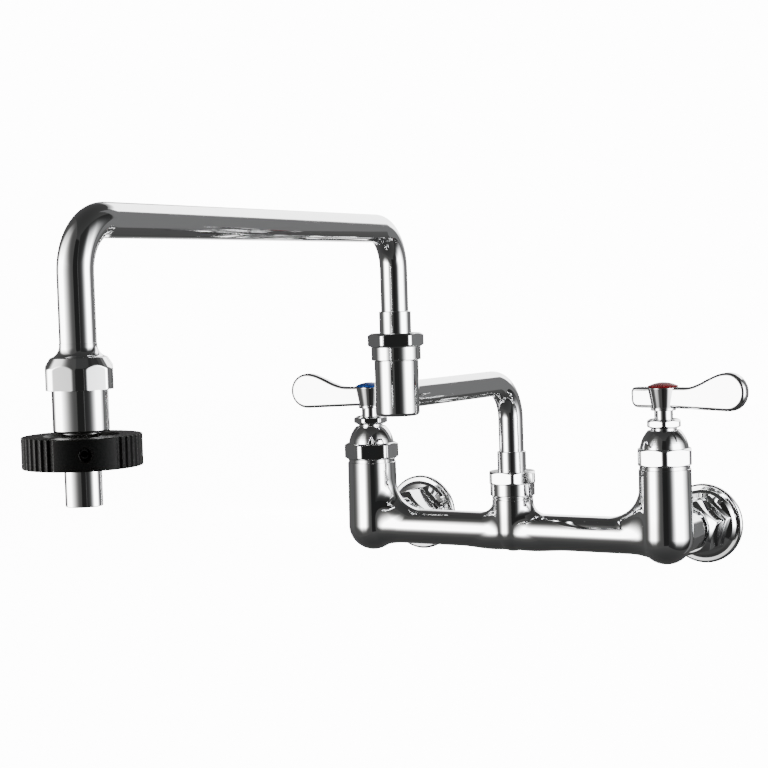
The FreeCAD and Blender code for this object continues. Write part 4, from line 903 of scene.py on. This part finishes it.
# ---- Valves ----
@dataclass
class Valve:
    """Bonnet, packing nut, stem and lever handle of one valve, in millimetres above the inlets."""

    side: str
    place: tuple[float, float]
    bonnet_corner: float
    heading: float
    index: Moulding
    index_slot: str
    hex_low: float = 43.5
    hex_top: float = 54.0
    hex_flats: float = 32.0
    hex_corners: float = 17.6
    hex_bore: float = 12.0
    dome_foot: float = 14.7
    dome_waist: float = 13.1
    dome_top_radius: float = 9.6
    dome_top: float = 64.7
    dome_bore: float = 9.0
    waist_rise: float = 5.56
    neck: float = 7.8
    neck_rise: float = 4.9
    nut_low: float = 66.0
    nut_top: float = 71.4
    nut_flats: float = 20.0
    nut_corners: float = 10.9
    nut_face: float = 8.6
    nut_taper: float = 1.4
    stem: float = 5.6
    stem_low: float = 60.0
    stem_head: float = 4.2
    stem_top: float = 84.0
    hub_low: float = 76.5
    hub_top: float = 90.6
    hub_collar: float = 7.5
    hub_collar_height: float = 1.7
    hub_low_radius: float = 7.0
    hub_top_radius: float = 9.2
    hub_bore: float = 4.25
    button_seat: float = 4.2
    button_plug: float = 4.0
    button: float = 8.1
    button_edge: float = 9.1
    button_rise: float = 2.8
    button_rim: float = 0.6
    reach: float = 55.2
    tail: float = 20.5
    thickness: float = 7.0
    edge: float = 2.2
    foot: float = 1.4
    neck_height: float = 12.6
    paddle: float = 22.9
    paddle_drop: float = 1.3
    rise_start: float = 15.0
    tail_low_round: float = 4.5
    tail_top_round: float = 2.4
    curve_samples: int = 720
    blade_rows: int = 120
    blade_columns: int = 36

    def build(self, bench: Bench) -> None:
        """Make the fixed pieces and the handle."""
        x, y = self.place
        handle = Body.LEFT_HANDLE if self.side == "left" else Body.RIGHT_HANDLE
        bonnet = turned_hexagon(self.bonnet_block(), self.hex_flats, self.bonnet_corner, 0.5)
        packing = turned_hexagon(self.packing_block(), self.nut_flats, self.bonnet_corner, 0.3)
        pieces = (("bonnet_hexagon", bonnet, Body.BASE, TURNED_CHROME, "bonnet"),
                  ("bonnet_dome", spun(self.dome()), Body.BASE, CAST_CHROME, "bonnet"),
                  ("packing_hexagon", packing, Body.BASE, TURNED_CHROME, "packing_nut"),
                  ("spindle", spun(self.spindle()), handle, TURNED_CHROME, "stem"),
                  ("hub", spun(self.hub()), handle, CAST_CHROME, "lever_handle"))
        for ending, skin, body, kind, node in pieces:
            bench.skin(f"{self.side}_{ending}", skin.moved(x, y), body, kind, f"{self.side}_{node}")
        bench.skin(f"{self.side}_button", spun(self.cap()).moved(x, y), handle, self.index,
                   f"{self.side}_index_button", slot=self.index_slot)
        bench.skin(f"{self.side}_blade", self.blade().moved(x, y, turn=self.heading), handle, CAST_CHROME,
                   f"{self.side}_lever_handle")

    def bonnet_block(self) -> Outline:
        """Outline of the bonnet's hexagon, with its corners turned to chamfers at both ends."""
        face = self.hex_flats / 2 - 0.4
        drop = (self.hex_corners - face) * CHAMFER_SLOPE
        return outline([(self.hex_bore, self.hex_low), (face, self.hex_low, 0.4),
                        (self.hex_corners, self.hex_low + drop, 0.5),
                        (self.hex_corners, self.hex_top - drop, 0.5), (face, self.hex_top, 0.4),
                        (self.hex_bore, self.hex_top)], closed=True, step=0.35)

    def dome(self) -> Outline:
        """Outline of the bonnet's dome and threaded neck: an arc through the foot, the waist and the top."""
        foot = np.array([self.dome_foot, self.hex_top])
        waist = np.array([self.dome_waist, self.hex_top + self.waist_rise])
        top = np.array([self.dome_top_radius, self.dome_top])
        arc = circle_through(foot, waist, top, 12)
        neck_top = self.dome_top + self.neck_rise
        corners = [(self.dome_bore, self.hex_top - 1.0), (self.dome_foot, self.hex_top - 1.0)]
        corners += [(float(r), float(z), 4.0) for r, z in arc[:-1]]
        corners += [(self.dome_top_radius, self.dome_top, 0.35), (self.neck, self.dome_top, 0.15),
                    (self.neck, neck_top, 0.3), (self.stem + 0.1, neck_top)]
        return outline(corners, closed=True)

    def packing_block(self) -> Outline:
        """Outline of the packing nut, deeply turned down at both ends."""
        bore = self.stem + 0.1
        return outline([(bore, self.nut_low), (self.nut_face, self.nut_low, 0.2),
                        (self.nut_corners, self.nut_low + self.nut_taper, 0.5),
                        (self.nut_corners, self.nut_top - self.nut_taper, 0.5),
                        (self.nut_face, self.nut_top, 0.2), (bore, self.nut_top)], closed=True, step=0.2)

    def spindle(self) -> Outline:
        """Outline of the stem from inside the bonnet up to its head in the hub."""
        seat = self.hub_low + 0.4
        return outline([(0.0, self.stem_low), (self.stem, self.stem_low, 0.2), (self.stem, seat, 0.2),
                        (self.stem_head, seat), (self.stem_head, self.stem_top, 0.4), (0.0, self.stem_top)])

    def hub(self) -> Outline:
        """Outline of the hub: turned collar, cone that widens upwards and the seat of the button."""
        low, top = self.hub_low, self.hub_top
        cone = low + self.hub_collar_height
        seat, mouth = top - self.button_seat, self.button + 0.05
        return outline([(self.hub_bore, low), (self.hub_collar, low, 0.4), (self.hub_collar, cone, 0.3),
                        (self.hub_low_radius, cone + 0.1, 0.2), (self.hub_top_radius, top - 0.6, 0.5),
                        (self.hub_top_radius - 0.5, top, 0.3), (mouth, top, 0.15), (mouth, seat),
                        (self.hub_bore, seat)], closed=True)

    def cap(self) -> Outline:
        """Outline of the button: a plug, a rim on the hub and a dome that falls with the radius squared."""
        foot = self.hub_top + self.button_rim
        rise = self.button_rise - self.button_rim
        radius = np.linspace(self.button_edge - 0.4, 0.0, 14)
        share = radius / self.button_edge
        dome = [(float(r), float(foot + rise * (1 - s * s)), 3.0) for r, s in zip(radius, share)]
        low, seam = self.hub_top - self.button_plug, self.hub_top + 0.02
        return outline([(0.0, low), (self.button, low, 0.2), (self.button, seam),
                        (self.button_edge, seam, 0.15),
                        (self.button_edge, foot, 0.25), *dome])

    def edge_curve(self) -> Array:
        """Closed side outline of the blade: swept paddle edge, round tip, straight foot and round tail."""
        bottom = self.hub_low + self.foot
        top = bottom + self.neck_height
        crown = bottom - self.paddle_drop + self.paddle
        radius = self.paddle / 2
        centre = self.reach - radius
        share = np.linspace(0.0, 1.0, 60)
        rise = np.stack([self.rise_start + (centre - self.rise_start) * share,
                         top + (crown - top) * (1 - np.cos(np.pi * share)) / 2], 1)
        swing = np.linspace(np.pi / 2, -np.pi / 2, 80)
        tip = np.stack([centre + radius * np.cos(swing), crown - radius + radius * np.sin(swing)], 1)
        low, high = self.tail_low_round, self.tail_top_round
        fall = np.linspace(1.5 * np.pi, np.pi, 24)
        tail_low = np.stack([low - self.tail + low * np.cos(fall), bottom + low + low * np.sin(fall)], 1)
        climb = np.linspace(np.pi, np.pi / 2, 16)
        tail_top = np.stack([high - self.tail + high * np.cos(climb), top - high + high * np.sin(climb)], 1)
        path = np.vstack([rise, tip, [[self.hub_top_radius, bottom]], tail_low, tail_top, rise[:1]])
        return evenly(path, self.curve_samples, smooth=5)

    def blade(self) -> Skin:
        """Blade as a plate whose thickness rolls off within one edge radius of its side outline.

        Rows run from tail to tip and columns round the section. At a distance d inside the outline the
        half thickness is T - e + sqrt(e^2 - (e - d)^2), with T half the thickness and e the edge radius.
        """
        curve = self.edge_curve()
        ahead = np.roll(curve, -1, 0) - np.roll(curve, 1, 0)
        out = normalised(np.stack([-ahead[:, 1], ahead[:, 0]], 1))
        low_x, high_x = curve[:, 0].min(), curve[:, 0].max()
        station = low_x + (high_x - low_x) * (1 - np.cos(np.linspace(0, np.pi, self.blade_rows))) / 2
        upper, lower = heights(curve, station)
        across = (1 - np.cos(np.linspace(0, np.pi, self.blade_columns))) / 2
        z = lower[:, None] + (upper - lower)[:, None] * across[None, :]
        x = np.broadcast_to(station[:, None], z.shape)
        flat = np.stack([x, z], 2).reshape(-1, 2)
        gap = np.linalg.norm(flat[:, None, :] - curve[None, ::2, :], axis=2)
        nearest = gap.argmin(1)
        inset = gap.min(1).reshape(z.shape)
        inset[:, 0] = inset[:, -1] = 0.0
        inset[0] = inset[-1] = 0.0
        lean = out[::2][nearest].reshape(*z.shape, 2)
        half, edge = self.thickness / 2, self.edge
        roll = np.clip(edge - inset, 0.0, edge)
        round_off = np.sqrt(np.maximum(edge ** 2 - roll ** 2, 0.0))
        depth = half - edge + round_off
        rise, plane = round_off / edge, roll / edge
        front = np.stack([x, -depth, z], 2)
        back = np.stack([x, depth, z], 2)[:, ::-1]
        front_n = np.stack([lean[..., 0] * plane, -rise, lean[..., 1] * plane], 2)
        back_n = np.stack([lean[..., 0] * plane, rise, lean[..., 1] * plane], 2)[:, ::-1]
        return Skin(np.concatenate([front, back], 1), normalised(np.concatenate([front_n, back_n], 1)))


def circle_through(first: Array, middle: Array, last: Array, count: int) -> Array:
    """Evenly spaced points on the arc from the first to the last point through the middle one."""
    system = 2 * np.array([middle - first, last - first])
    centre = np.linalg.solve(system, np.array([middle @ middle - first @ first, last @ last - first @ first]))
    radius = np.linalg.norm(first - centre)
    start, end = (math.atan2(*(point - centre)[::-1]) for point in (first, last))
    end = start + math.remainder(end - start, 2 * math.pi)
    angle = np.linspace(start, end, count)
    return centre + radius * np.stack([np.cos(angle), np.sin(angle)], 1)


def evenly(path: Array, count: int, smooth: int) -> Array:
    """Resample a closed path to even spacing and round its joins with a short moving average."""
    steps = np.linalg.norm(np.diff(path, axis=0), axis=1)
    along = np.concatenate([[0.0], np.cumsum(steps)])
    even = np.linspace(0.0, along[-1], count, endpoint=False)
    curve = np.stack([np.interp(even, along, path[:, 0]), np.interp(even, along, path[:, 1])], 1)
    for _ in range(2):
        curve = sum(np.roll(curve, shift, 0) for shift in range(-smooth, smooth + 1)) / (2 * smooth + 1)
    return curve


def heights(curve: Array, station: Array) -> tuple[Array, Array]:
    """Upper and lower height of a closed curve at each station along x."""
    first, last = int(curve[:, 0].argmin()), int(curve[:, 0].argmax())
    turned = np.roll(curve, -first, 0)
    tip = (last - first) % len(curve)
    one = turned[:tip + 1]
    other = np.vstack([turned[tip:], turned[:1]])[::-1]
    high = np.interp(station, np.maximum.accumulate(one[:, 0]), one[:, 1])
    low = np.interp(station, np.maximum.accumulate(other[:, 0]), other[:, 1])
    return np.maximum(high, low), np.minimum(high, low)


# ---- Swivels and arms ----
@dataclass
class Swivel:
    """Nut and ferrule of one swivel joint. Heights are in millimetres above the nut's lower edge."""

    name: str
    nut_node: str
    ferrule_node: str
    place: tuple[float, float]
    low: float
    corner: float
    nut_body: Body
    arm_body: Body
    skirt_radius: float = 14.0
    skirt_bore: float = 12.05
    skirt: float = 7.4
    flats: float = 28.6
    corners: float = 15.9
    hexagon: float = 7.9
    ferrule: float = 9.0
    ferrule_rise: float = 12.3
    ferrule_low: float = 2.0
    ferrule_bore: float = 6.0
    tube_seat: float = 10.0
    tube: float = 7.75

    def build(self, bench: Bench) -> None:
        """Make the nut's skirt and hexagon, and the sleeve above it."""
        x, y = self.place
        hexagon = turned_hexagon(self.block(), self.flats, self.corner, 0.5)
        pieces = (("nut_skirt", spun(self.skirt_outline()), self.nut_body, self.nut_node),
                  ("nut_hexagon", hexagon, self.nut_body, self.nut_node),
                  ("sleeve", spun(self.sleeve()), self.arm_body, self.ferrule_node))
        for ending, skin, body, node in pieces:
            bench.skin(f"{self.name}_{ending}", skin.moved(x, y, self.low), body, TURNED_CHROME, node)

    def skirt_outline(self) -> Outline:
        """Outline of the round skirt."""
        r, bore, top = self.skirt_radius, self.skirt_bore, self.skirt + 0.6
        return outline([(bore, 0.0), (r, 0.0, 0.6), (r, top, 0.3), (bore, top)], closed=True)

    def block(self) -> Outline:
        """Outline of the hexagon, with turned corners at both ends."""
        face = self.flats / 2 - 0.3
        drop = (self.corners - face) * CHAMFER_SLOPE
        low, top = self.skirt, self.skirt + self.hexagon
        bore = self.ferrule + 0.1
        return outline([(bore, low), (face, low, 0.3), (self.corners, low + drop, 0.5),
                        (self.corners, top - drop, 0.5), (face, top, 0.35), (bore, top, 0.25)],
                       closed=True, step=0.35)

    def sleeve(self) -> Outline:
        """Outline of the ferrule from inside the nut to its open top round the tube."""
        top = self.skirt + self.hexagon + self.ferrule_rise
        mouth, seat = self.tube + 0.05, top - self.tube_seat
        return outline([(self.ferrule_bore, self.ferrule_low), (self.ferrule, self.ferrule_low),
                        (self.ferrule, top, 0.5), (mouth, top, 0.15), (mouth, seat),
                        (self.ferrule_bore, seat)], closed=True)


@dataclass
class Arms:
    """Two bent tubes and the elbow housing, in millimetres."""

    riser: tuple[float, float]
    elbow: tuple[float, float]
    outlet: tuple[float, float]
    tube: float = 7.75
    lower_height: float = 93.6
    upper_height: float = 187.8
    lower_bend: float = 23.0
    upper_bend: float = 22.5
    lower_start: float = 40.1
    lower_stop: float = 10.1
    upper_start: float = 131.5
    upper_end: float = 126.7
    housing: float = 12.5
    housing_low: float = 82.3
    housing_top: float = 113.6
    housing_neck: float = 12.0
    housing_neck_rise: float = 7.2
    housing_bore: float = 9.1
    housing_floor: float = 3.0

    def build(self, bench: Bench) -> None:
        """Make both tubes and the housing."""
        riser, elbow, outlet = (np.array(place) for place in (self.riser, self.elbow, self.outlet))
        stop = elbow + unit(riser - elbow) * self.lower_stop
        lower = bent_tube([(*riser, self.lower_start), (*riser, self.lower_height),
                           (*stop, self.lower_height)], self.lower_bend, self.tube)
        bench.skin("lower_tube", lower, Body.LOWER_ARM, TUBE_CHROME, "lower_arm_tube")
        upper = bent_tube([(*elbow, self.upper_start), (*elbow, self.upper_height),
                           (*outlet, self.upper_height), (*outlet, self.upper_end)],
                          self.upper_bend, self.tube)
        bench.skin("upper_tube", upper, Body.UPPER_ARM, TUBE_CHROME, "upper_arm_tube")
        low, top, bore, neck = self.housing_low, self.housing_top, self.housing_bore, self.housing_neck
        end, floor = top + self.housing_neck_rise, low + self.housing_floor
        cup = outline([(0.0, low), (self.housing, low, 2.2), (self.housing, top, 0.4), (neck, top),
                       (neck, end, 0.5), (bore, end), (bore, floor), (0.0, floor)])
        bench.skin("elbow_cup", spun(cup).moved(*self.elbow), Body.LOWER_ARM, TURNED_CHROME,
                   "elbow_housing")


# ---- Outlet valve ----
@dataclass
class Outlet:
    """Adaptor, barrel, nozzle and hand wheel, in millimetres above the inlets."""

    place: tuple[float, float]
    tube: float = 7.75
    adaptor_top: float = 136.6
    shoulder: float = 130.8
    adaptor_low: float = 117.5
    shoulder_radius: float = 11.9
    flare_share: float = 0.2929
    flare_bore: float = 7.0
    adaptor_bore: float = 9.0
    flats: float = 27.8
    corners: float = 14.7
    taper: float = 4.5
    corner: float = -51.0
    barrel: float = 11.7
    barrel_low: float = 99.9
    thread_top: float = 111.3
    nozzle: float = 7.8
    thread: float = 8.2
    nozzle_bore: float = 6.3
    nozzle_low: float = 69.0
    nozzle_top: float = 113.5
    wheel: float = 25.0
    wheel_low: float = 85.4
    wheel_top: float = 98.6
    wheel_band: float = 4.0
    dish: float = 14.5
    dish_depth: float = 1.2
    ribs: int = 48
    columns_per_rib: int = 10
    groove: float = 1.3
    groove_depth: float = 0.8
    plain: float = 30.0
    screw_direction: float = -47.8
    screw: float = 2.2
    screw_face: float = 17.25
    screw_length: float = 9.0
    socket_mouth: float = 1.35
    socket: float = 1.25
    socket_depth: float = 2.0
    hole_depth: float = 9.0

    def build(self, bench: Bench) -> None:
        """Make the adaptor, the barrel, the nozzle, the wheel and its set screw."""
        x, y = self.place
        hexagon = turned_hexagon(self.block(), self.flats, self.corner, 0.2)
        pieces = (("adaptor_flare", spun(self.flare()), Body.UPPER_ARM, "outlet_adaptor"),
                  ("adaptor_hexagon", hexagon, Body.UPPER_ARM, "outlet_adaptor"),
                  ("valve_barrel", spun(self.barrel_outline()), Body.UPPER_ARM, "outlet_barrel"),
                  ("nozzle", spun(self.nozzle_outline()), Body.OUTLET_STEM, "outlet_tube"))
        for name, skin, body, node in pieces:
            bench.skin(name, skin.moved(x, y), body, TURNED_CHROME, node)
        turn = self.screw_direction
        bench.skin("ribbed_wheel", self.wheel_skin().moved(x, y, turn=turn), Body.OUTLET_STEM, WHEEL_BLACK,
                   "hand_wheel", slot="black_plastic")
        bench.skin("wheel_set_screw", self.set_screw().moved(x, y, turn=turn), Body.OUTLET_STEM, STEEL,
                   "set_screw", slot="steel")

    def barrel_outline(self) -> Outline:
        """Outline of the barrel, its bore wider above the screw thread."""
        bore, wide, top = self.thread + 0.1, self.thread + 1.1, self.adaptor_low + 0.2
        return outline([(bore, self.barrel_low), (self.barrel, self.barrel_low, 1.0), (self.barrel, top),
                        (wide, top), (wide, self.thread_top), (bore, self.thread_top)], closed=True)

    def nozzle_outline(self) -> Outline:
        """Outline of the nozzle, threaded from the wheel up."""
        return outline([(self.nozzle_bore, self.nozzle_low, 0.25), (self.nozzle, self.nozzle_low, 0.4),
                        (self.nozzle, self.wheel_low), (self.thread, self.wheel_low, 0.1),
                        (self.thread, self.nozzle_top), (self.nozzle_bore, self.nozzle_top)], closed=True)

    def flare(self) -> Outline:
        """Outline of the concave flare that joins the tube to the hexagon."""
        thin, wide = self.tube + 0.15, self.shoulder_radius
        middle = (thin + (wide - thin) * self.flare_share,
                  self.shoulder + (self.adaptor_top - self.shoulder) * self.flare_share)
        arc = circle_through(np.array([wide, self.shoulder]), np.array(middle),
                             np.array([thin, self.adaptor_top]), 12)
        corners = [(self.flare_bore, self.shoulder - 1.0), (wide, self.shoulder - 1.0)]
        corners += [(float(r), float(z), 5.0) for r, z in arc[:-1]]
        corners += [(thin, self.adaptor_top, 0.1), (self.flare_bore, self.adaptor_top)]
        return outline(corners, closed=True)

    def block(self) -> Outline:
        """Outline of the adaptor's hexagon, its shoulder turned down to the flare."""
        bore = self.adaptor_bore
        return outline([(bore, self.adaptor_low), (self.corners, self.adaptor_low, 0.3),
                        (self.corners, self.shoulder - self.taper, 2.0),
                        (self.shoulder_radius, self.shoulder, 0.5), (bore, self.shoulder)],
                       closed=True, step=0.4)

    def wheel_skin(self) -> Skin:
        """Ribbed wheel: its radius is the smaller of the outline's and that of round flutes.

        A flute's near side at an angle b from its middle is c cos(b) - sqrt(g^2 - c^2 sin(b)^2), with c
        the distance of its centre from the axis and g its radius. Beside the set screw the rim is plain,
        and the screw's hole sinks the surface within its radius.
        """
        angle = turn_steps(self.ribs * self.columns_per_rib)
        pitch = 2 * math.pi / self.ribs
        off = np.mod(angle, pitch) - pitch / 2
        centre = self.wheel + self.groove - self.groove_depth
        reach = self.groove ** 2 - (centre * np.sin(off)) ** 2
        away = np.mod(angle + math.pi, 2 * math.pi) - math.pi
        fluted = (reach > 0) & (np.abs(away) >= math.radians(self.plain))
        clear = self.wheel + 9.0
        flute = np.where(fluted, centre * np.cos(off) - np.sqrt(np.maximum(reach, 0.0)), clear)
        low, top, deep = self.wheel_low, self.wheel_top, self.wheel_top - self.dish_depth
        bore, band = self.thread + 0.05, self.wheel - self.wheel_band
        shape = outline([(bore, low), (band, low), (self.wheel, low, 0.5), (self.wheel, top, 0.5),
                         (band, top), (self.dish + 1.2, top, 0.4), (self.dish, deep, 0.4), (bore, deep)],
                        closed=True, step=0.45)
        radius, _ = soft_min(shape.radius[:, None], flute[None, :], 0.12)
        height = np.broadcast_to(shape.height[:, None], radius.shape)
        spot = np.hypot(self.wheel * away[None, :], height - (low + top) / 2)
        rim = (shape.radius > self.wheel - 0.5)[:, None]
        sink = np.clip((self.screw + 0.25 - spot) / 0.3, 0.0, 1.0)
        radius = radius - rim * (sink * sink * (3 - 2 * sink)) * self.hole_depth
        points = around(radius, height, angle)
        return Skin(points, -grid_normals(points, True), True)

    def set_screw(self) -> Skin:
        """Headless screw with a socket, laid along +X at the wheel's middle height."""
        outer, inner = self.screw_face, self.screw_face - self.screw_length
        deep = outer - self.socket_depth
        shape = outline([(0.0, inner), (self.screw, inner, 0.2), (self.screw, outer, 0.4),
                         (self.socket_mouth, outer, 0.15), (self.socket, deep, 0.1), (0.0, deep)])
        upright = spun(shape, 64)
        lay = np.array([[0.0, 0.0, -1.0], [0.0, 1.0, 0.0], [1.0, 0.0, 0.0]])
        middle = np.array([0.0, 0.0, (self.wheel_low + self.wheel_top) / 2])
        return Skin(upright.points @ lay + middle, upright.normals @ lay)


# ---- Inner pieces ----
INNER_FINISHES: dict[str, Metal | Moulding] = {
    "union_washer": RUBBER, "packing_ring": PTFE, "cartridge_shell": BRASS, "fixed_disc": CERAMIC,
    "moving_disc": CERAMIC, "seat_seal": RUBBER, "stem_o_ring": RUBBER, "handle_screw": STEEL,
    "snap_ring": STEEL, "lower_o_ring": RUBBER, "upper_o_ring": RUBBER, "outlet_o_ring": RUBBER,
    "valve_plug": BRASS, "plug_seal": RUBBER, "plug_screw": STEEL}


def dress_inner_pieces(bench: Bench) -> None:
    """Give each hidden CAD piece the finish of its material."""
    for node in frame["nodes"]:
        for ending, kind in INNER_FINISHES.items():
            if node.endswith(ending):
                bench.dress(node, kind)


# ---- Studio ----
GLOW_REACH = 3.0  # distance in metres over which a panel's light goes on falling


def staged_quad(name: str, corners: list[tuple[float, ...]],
                material: bpy.types.Material) -> bpy.types.Object:
    """Add a flat piece of the studio, in metres."""
    mesh = bpy.data.meshes.new(name)
    mesh.from_pydata(corners, [], [(0, 1, 2, 3)])
    mesh.materials.append(material)
    piece = bpy.data.objects.new(name, mesh)
    bpy.context.scene.collection.objects.link(piece)
    return piece


@dataclass(frozen=True)
class Softbox:
    """Upright glowing panel that the metal mirrors, hidden from the camera.

    Its middle is evenly bright, and outside that the light falls off exponentially.

    Attributes:
        name: name of the panel.
        start: plan position of its first edge, in metres.
        end: plan position of its last edge.
        low: height of its lower edge.
        high: height of its upper edge.
        core: the even part, from and to along the panel and from and to in height.
        falloff: distance in which the light falls to a third, beyond each of those four bounds.
        strength: brightness of the even part.
        base: brightness that is left far from it.
        colour: colour of its light.
    """

    name: str
    start: tuple[float, float]
    end: tuple[float, float]
    low: float
    high: float
    core: tuple[float, float, float, float]
    falloff: tuple[float, float, float, float]
    strength: float
    base: float = 0.05
    colour: tuple[float, float, float] = (1.0, 1.0, 1.0)

    def build(self) -> None:
        """Make the panel, with its UV map in metres along and up."""
        span = math.dist(self.start, self.end)
        corners = [(*self.start, self.low), (*self.end, self.low), (*self.end, self.high),
                   (*self.start, self.high)]
        panel = staged_quad(self.name, corners, self.glow())
        layer = panel.data.uv_layers.new(name="panel")
        layer.data.foreach_set("uv", (0.0, self.low, span, self.low, span, self.high, 0.0, self.high))
        panel.visible_camera = False

    def glow(self) -> bpy.types.Material:
        """Emission of base + strength * exp(-sum of the distances outside the core over their falloffs)."""
        tree = NodeTree(bpy.data.materials.new(self.name))
        tree.nodes.remove(tree.shader)
        spot = tree.node("UVMap", "UV", {})
        total: Value = 0.0
        for index, (bound, fall) in enumerate(zip(self.core, self.falloff)):
            along = tree.node("SeparateXYZ", "X" if index < 2 else "Y", {"Vector": spot})
            deepest = -GLOW_REACH / fall
            if index % 2 == 0:
                fade = tree.range_to(along, (bound - GLOW_REACH, bound), (deepest, 0.0))
            else:
                fade = tree.range_to(along, (bound, bound + GLOW_REACH), (0.0, deepest))
            total = tree.math("ADD", total, fade)
        light = tree.math("MULTIPLY", tree.math("EXPONENT", total), self.strength)
        level = tree.math("ADD", light, self.base)
        emission = tree.node("Emission", "Emission", {"Color": (*self.colour, 1.0), "Strength": level})
        tree.plug(tree.nodes["Material Output"].inputs["Surface"], emission)
        return tree.owner


@dataclass
class Studio:
    """Pale floor, soft panels, a world that is white to look at and dim to mirror, and the camera."""

    floor_height: float = -0.45
    floor_size: float = 14.0
    floor_glow: float = 13.4
    white: float = 14.0
    horizon: float = 0.125
    zenith: float = 0.045
    camera_place: tuple[float, float, float] = (0.49945, -1.09043, 0.15731)
    camera_yaw: float = 29.98
    camera_pitch: float = 3.16
    camera_roll: float = -1.78
    lens: float = 85.283
    sensor: float = 36.0

    def build(self) -> None:
        """Make the floor, the panels, the world and the camera."""
        self.floor()
        for panel in self.panels():
            panel.build()
        self.world()
        self.camera()

    def panels(self) -> list[Softbox]:
        """Soft panels at the left and the right, two behind the wall, and a dark flag behind the camera."""
        warm, cool = (1.0, 0.99, 0.975), (0.985, 0.99, 1.0)
        even = (0.01, 0.01, 0.01, 0.01)
        return [
            Softbox("left_panel", (0.270, -1.0315), (-0.798, -0.3275), -0.6, 1.1, (0.56, 0.80, -0.065, 0.25),
                    (0.060, 0.062, 0.055, 0.112), 12.0, 0.085, warm),
            Softbox("right_panel", (0.596, -0.90), (0.859, 0.90), -0.6, 1.1, (0.576, 0.95, -0.10, 0.30),
                    (0.062, 0.15, 0.06, 0.11), 12.0, 0.03, cool),
            Softbox("side_card", (0.859, 0.90), (1.10, 3.0), -1.2, 2.6, (0.0, 0.0, 0.0, 0.0), even, 0.0,
                    0.20, cool),
            Softbox("back_panel", (1.10, 3.0), (-3.2, 3.0), -0.25, 3.6, (0.15, 2.85, 0.62, 2.6),
                    (0.05, 0.22, 0.12, 0.30), 4.5, 0.13),
            Softbox("low_back_panel", (-0.9, 3.0), (-3.2, 3.0), -2.4, -0.25, (0.48, 1.3, -0.8, -0.25),
                    (0.10, 0.15, 0.2, 0.2), 4.0, 0.07),
            Softbox("flag", (0.25, -1.16), (0.76, -1.06), -0.6, 1.1, (0.0, 0.0, 0.0, 0.0), even, 0.0, 0.02),
        ]

    def floor(self) -> None:
        """Plain pale floor well below the object, lit evenly to the camera."""
        half, z = self.floor_size / 2, self.floor_height
        pale = Moulding("pale_floor", (0.86, 0.86, 0.86), (0.87, 0.87, 0.87), roughness=0.9,
                        grain_depth=0.0).material()
        shader = pale.node_tree.nodes["Principled BSDF"]
        shader.inputs["Emission Color"].default_value = (1.0, 1.0, 1.0, 1.0)
        shader.inputs["Emission Strength"].default_value = self.floor_glow
        corners = [(-half, -half, z), (half, -half, z), (half, half, z), (-half, half, z)]
        floor = staged_quad("floor", corners, pale)
        floor.visible_glossy = False
        floor.visible_diffuse = False

    def world(self) -> None:
        """World that is plain white to look at, and dim as a light, brightest along its horizon."""
        world = bpy.data.worlds.new("studio")
        bpy.context.scene.world = world
        tree = NodeTree(world)
        height = tree.node("SeparateXYZ", "Z", {"Vector": tree.node("TexCoord", "Generated", {})})
        level = tree.range_to(tree.math("ABSOLUTE", height), (0.0, 1.0), (self.horizon, self.zenith))
        seen = tree.node("LightPath", "Is Camera Ray", {})
        white = (self.white, self.white, self.white, 1.0)
        tree.plug(tree.nodes["Background"].inputs["Color"], tree.mixed(seen, level, white))

    def camera(self) -> None:
        """Camera at the photograph's viewpoint."""
        yaw, pitch, roll = (math.radians(a) for a in (self.camera_yaw, self.camera_pitch, self.camera_roll))
        ahead = Vector((-math.sin(yaw) * math.cos(pitch), math.cos(yaw) * math.cos(pitch), -math.sin(pitch)))
        level = Vector((math.cos(yaw), math.sin(yaw), 0.0))
        above = level.cross(ahead)
        right = math.cos(roll) * level + math.sin(roll) * above
        up = math.cos(roll) * above - math.sin(roll) * level
        data = bpy.data.cameras.new("photo_camera")
        data.lens = self.lens
        data.sensor_width = self.sensor
        data.clip_start = 0.01
        camera = bpy.data.objects.new("photo_camera", data)
        turn = Matrix((right, up, -ahead)).transposed().to_4x4()
        camera.matrix_world = Matrix.Translation(self.camera_place) @ turn
        bpy.context.scene.collection.objects.link(camera)
        bpy.context.scene.camera = camera


def main() -> None:
    """Build the studio and the faucet."""
    logging.basicConfig(level=logging.INFO, format="%(name)s %(message)s")
    Studio().build()
    bench = Bench()
    left, right = axis_of("left_lever"), axis_of("right_lever")
    riser, elbow, outlet = axis_of("lower_arm_swing"), axis_of("upper_arm_swing"), axis_of("wheel_turn")
    for side, place in (("left", left), ("right", right)):
        WallConnection(side, place[0]).build(bench)
    Casting(valve_x=right[0], valve_y=right[1]).build(bench)
    Valve("left", left, -27.0, 188.0, COLD_BLUE, "cold_blue").build(bench)
    Valve("right", right, -68.5, -8.0, HOT_RED, "hot_red").build(bench)
    Swivel("riser", "riser_swivel_nut", "lower_ferrule", riser, 22.5, -64.0, Body.BASE,
           Body.LOWER_ARM).build(bench)
    Swivel("elbow", "elbow_swivel_nut", "upper_ferrule", elbow, 113.9, -30.4, Body.LOWER_ARM,
           Body.UPPER_ARM).build(bench)
    Arms(riser, elbow, outlet).build(bench)
    Outlet(outlet).build(bench)
    dress_inner_pieces(bench)
    LOG.info("all pieces: %d triangles", bench.triangles)


if __name__ == "__main__":
    main()
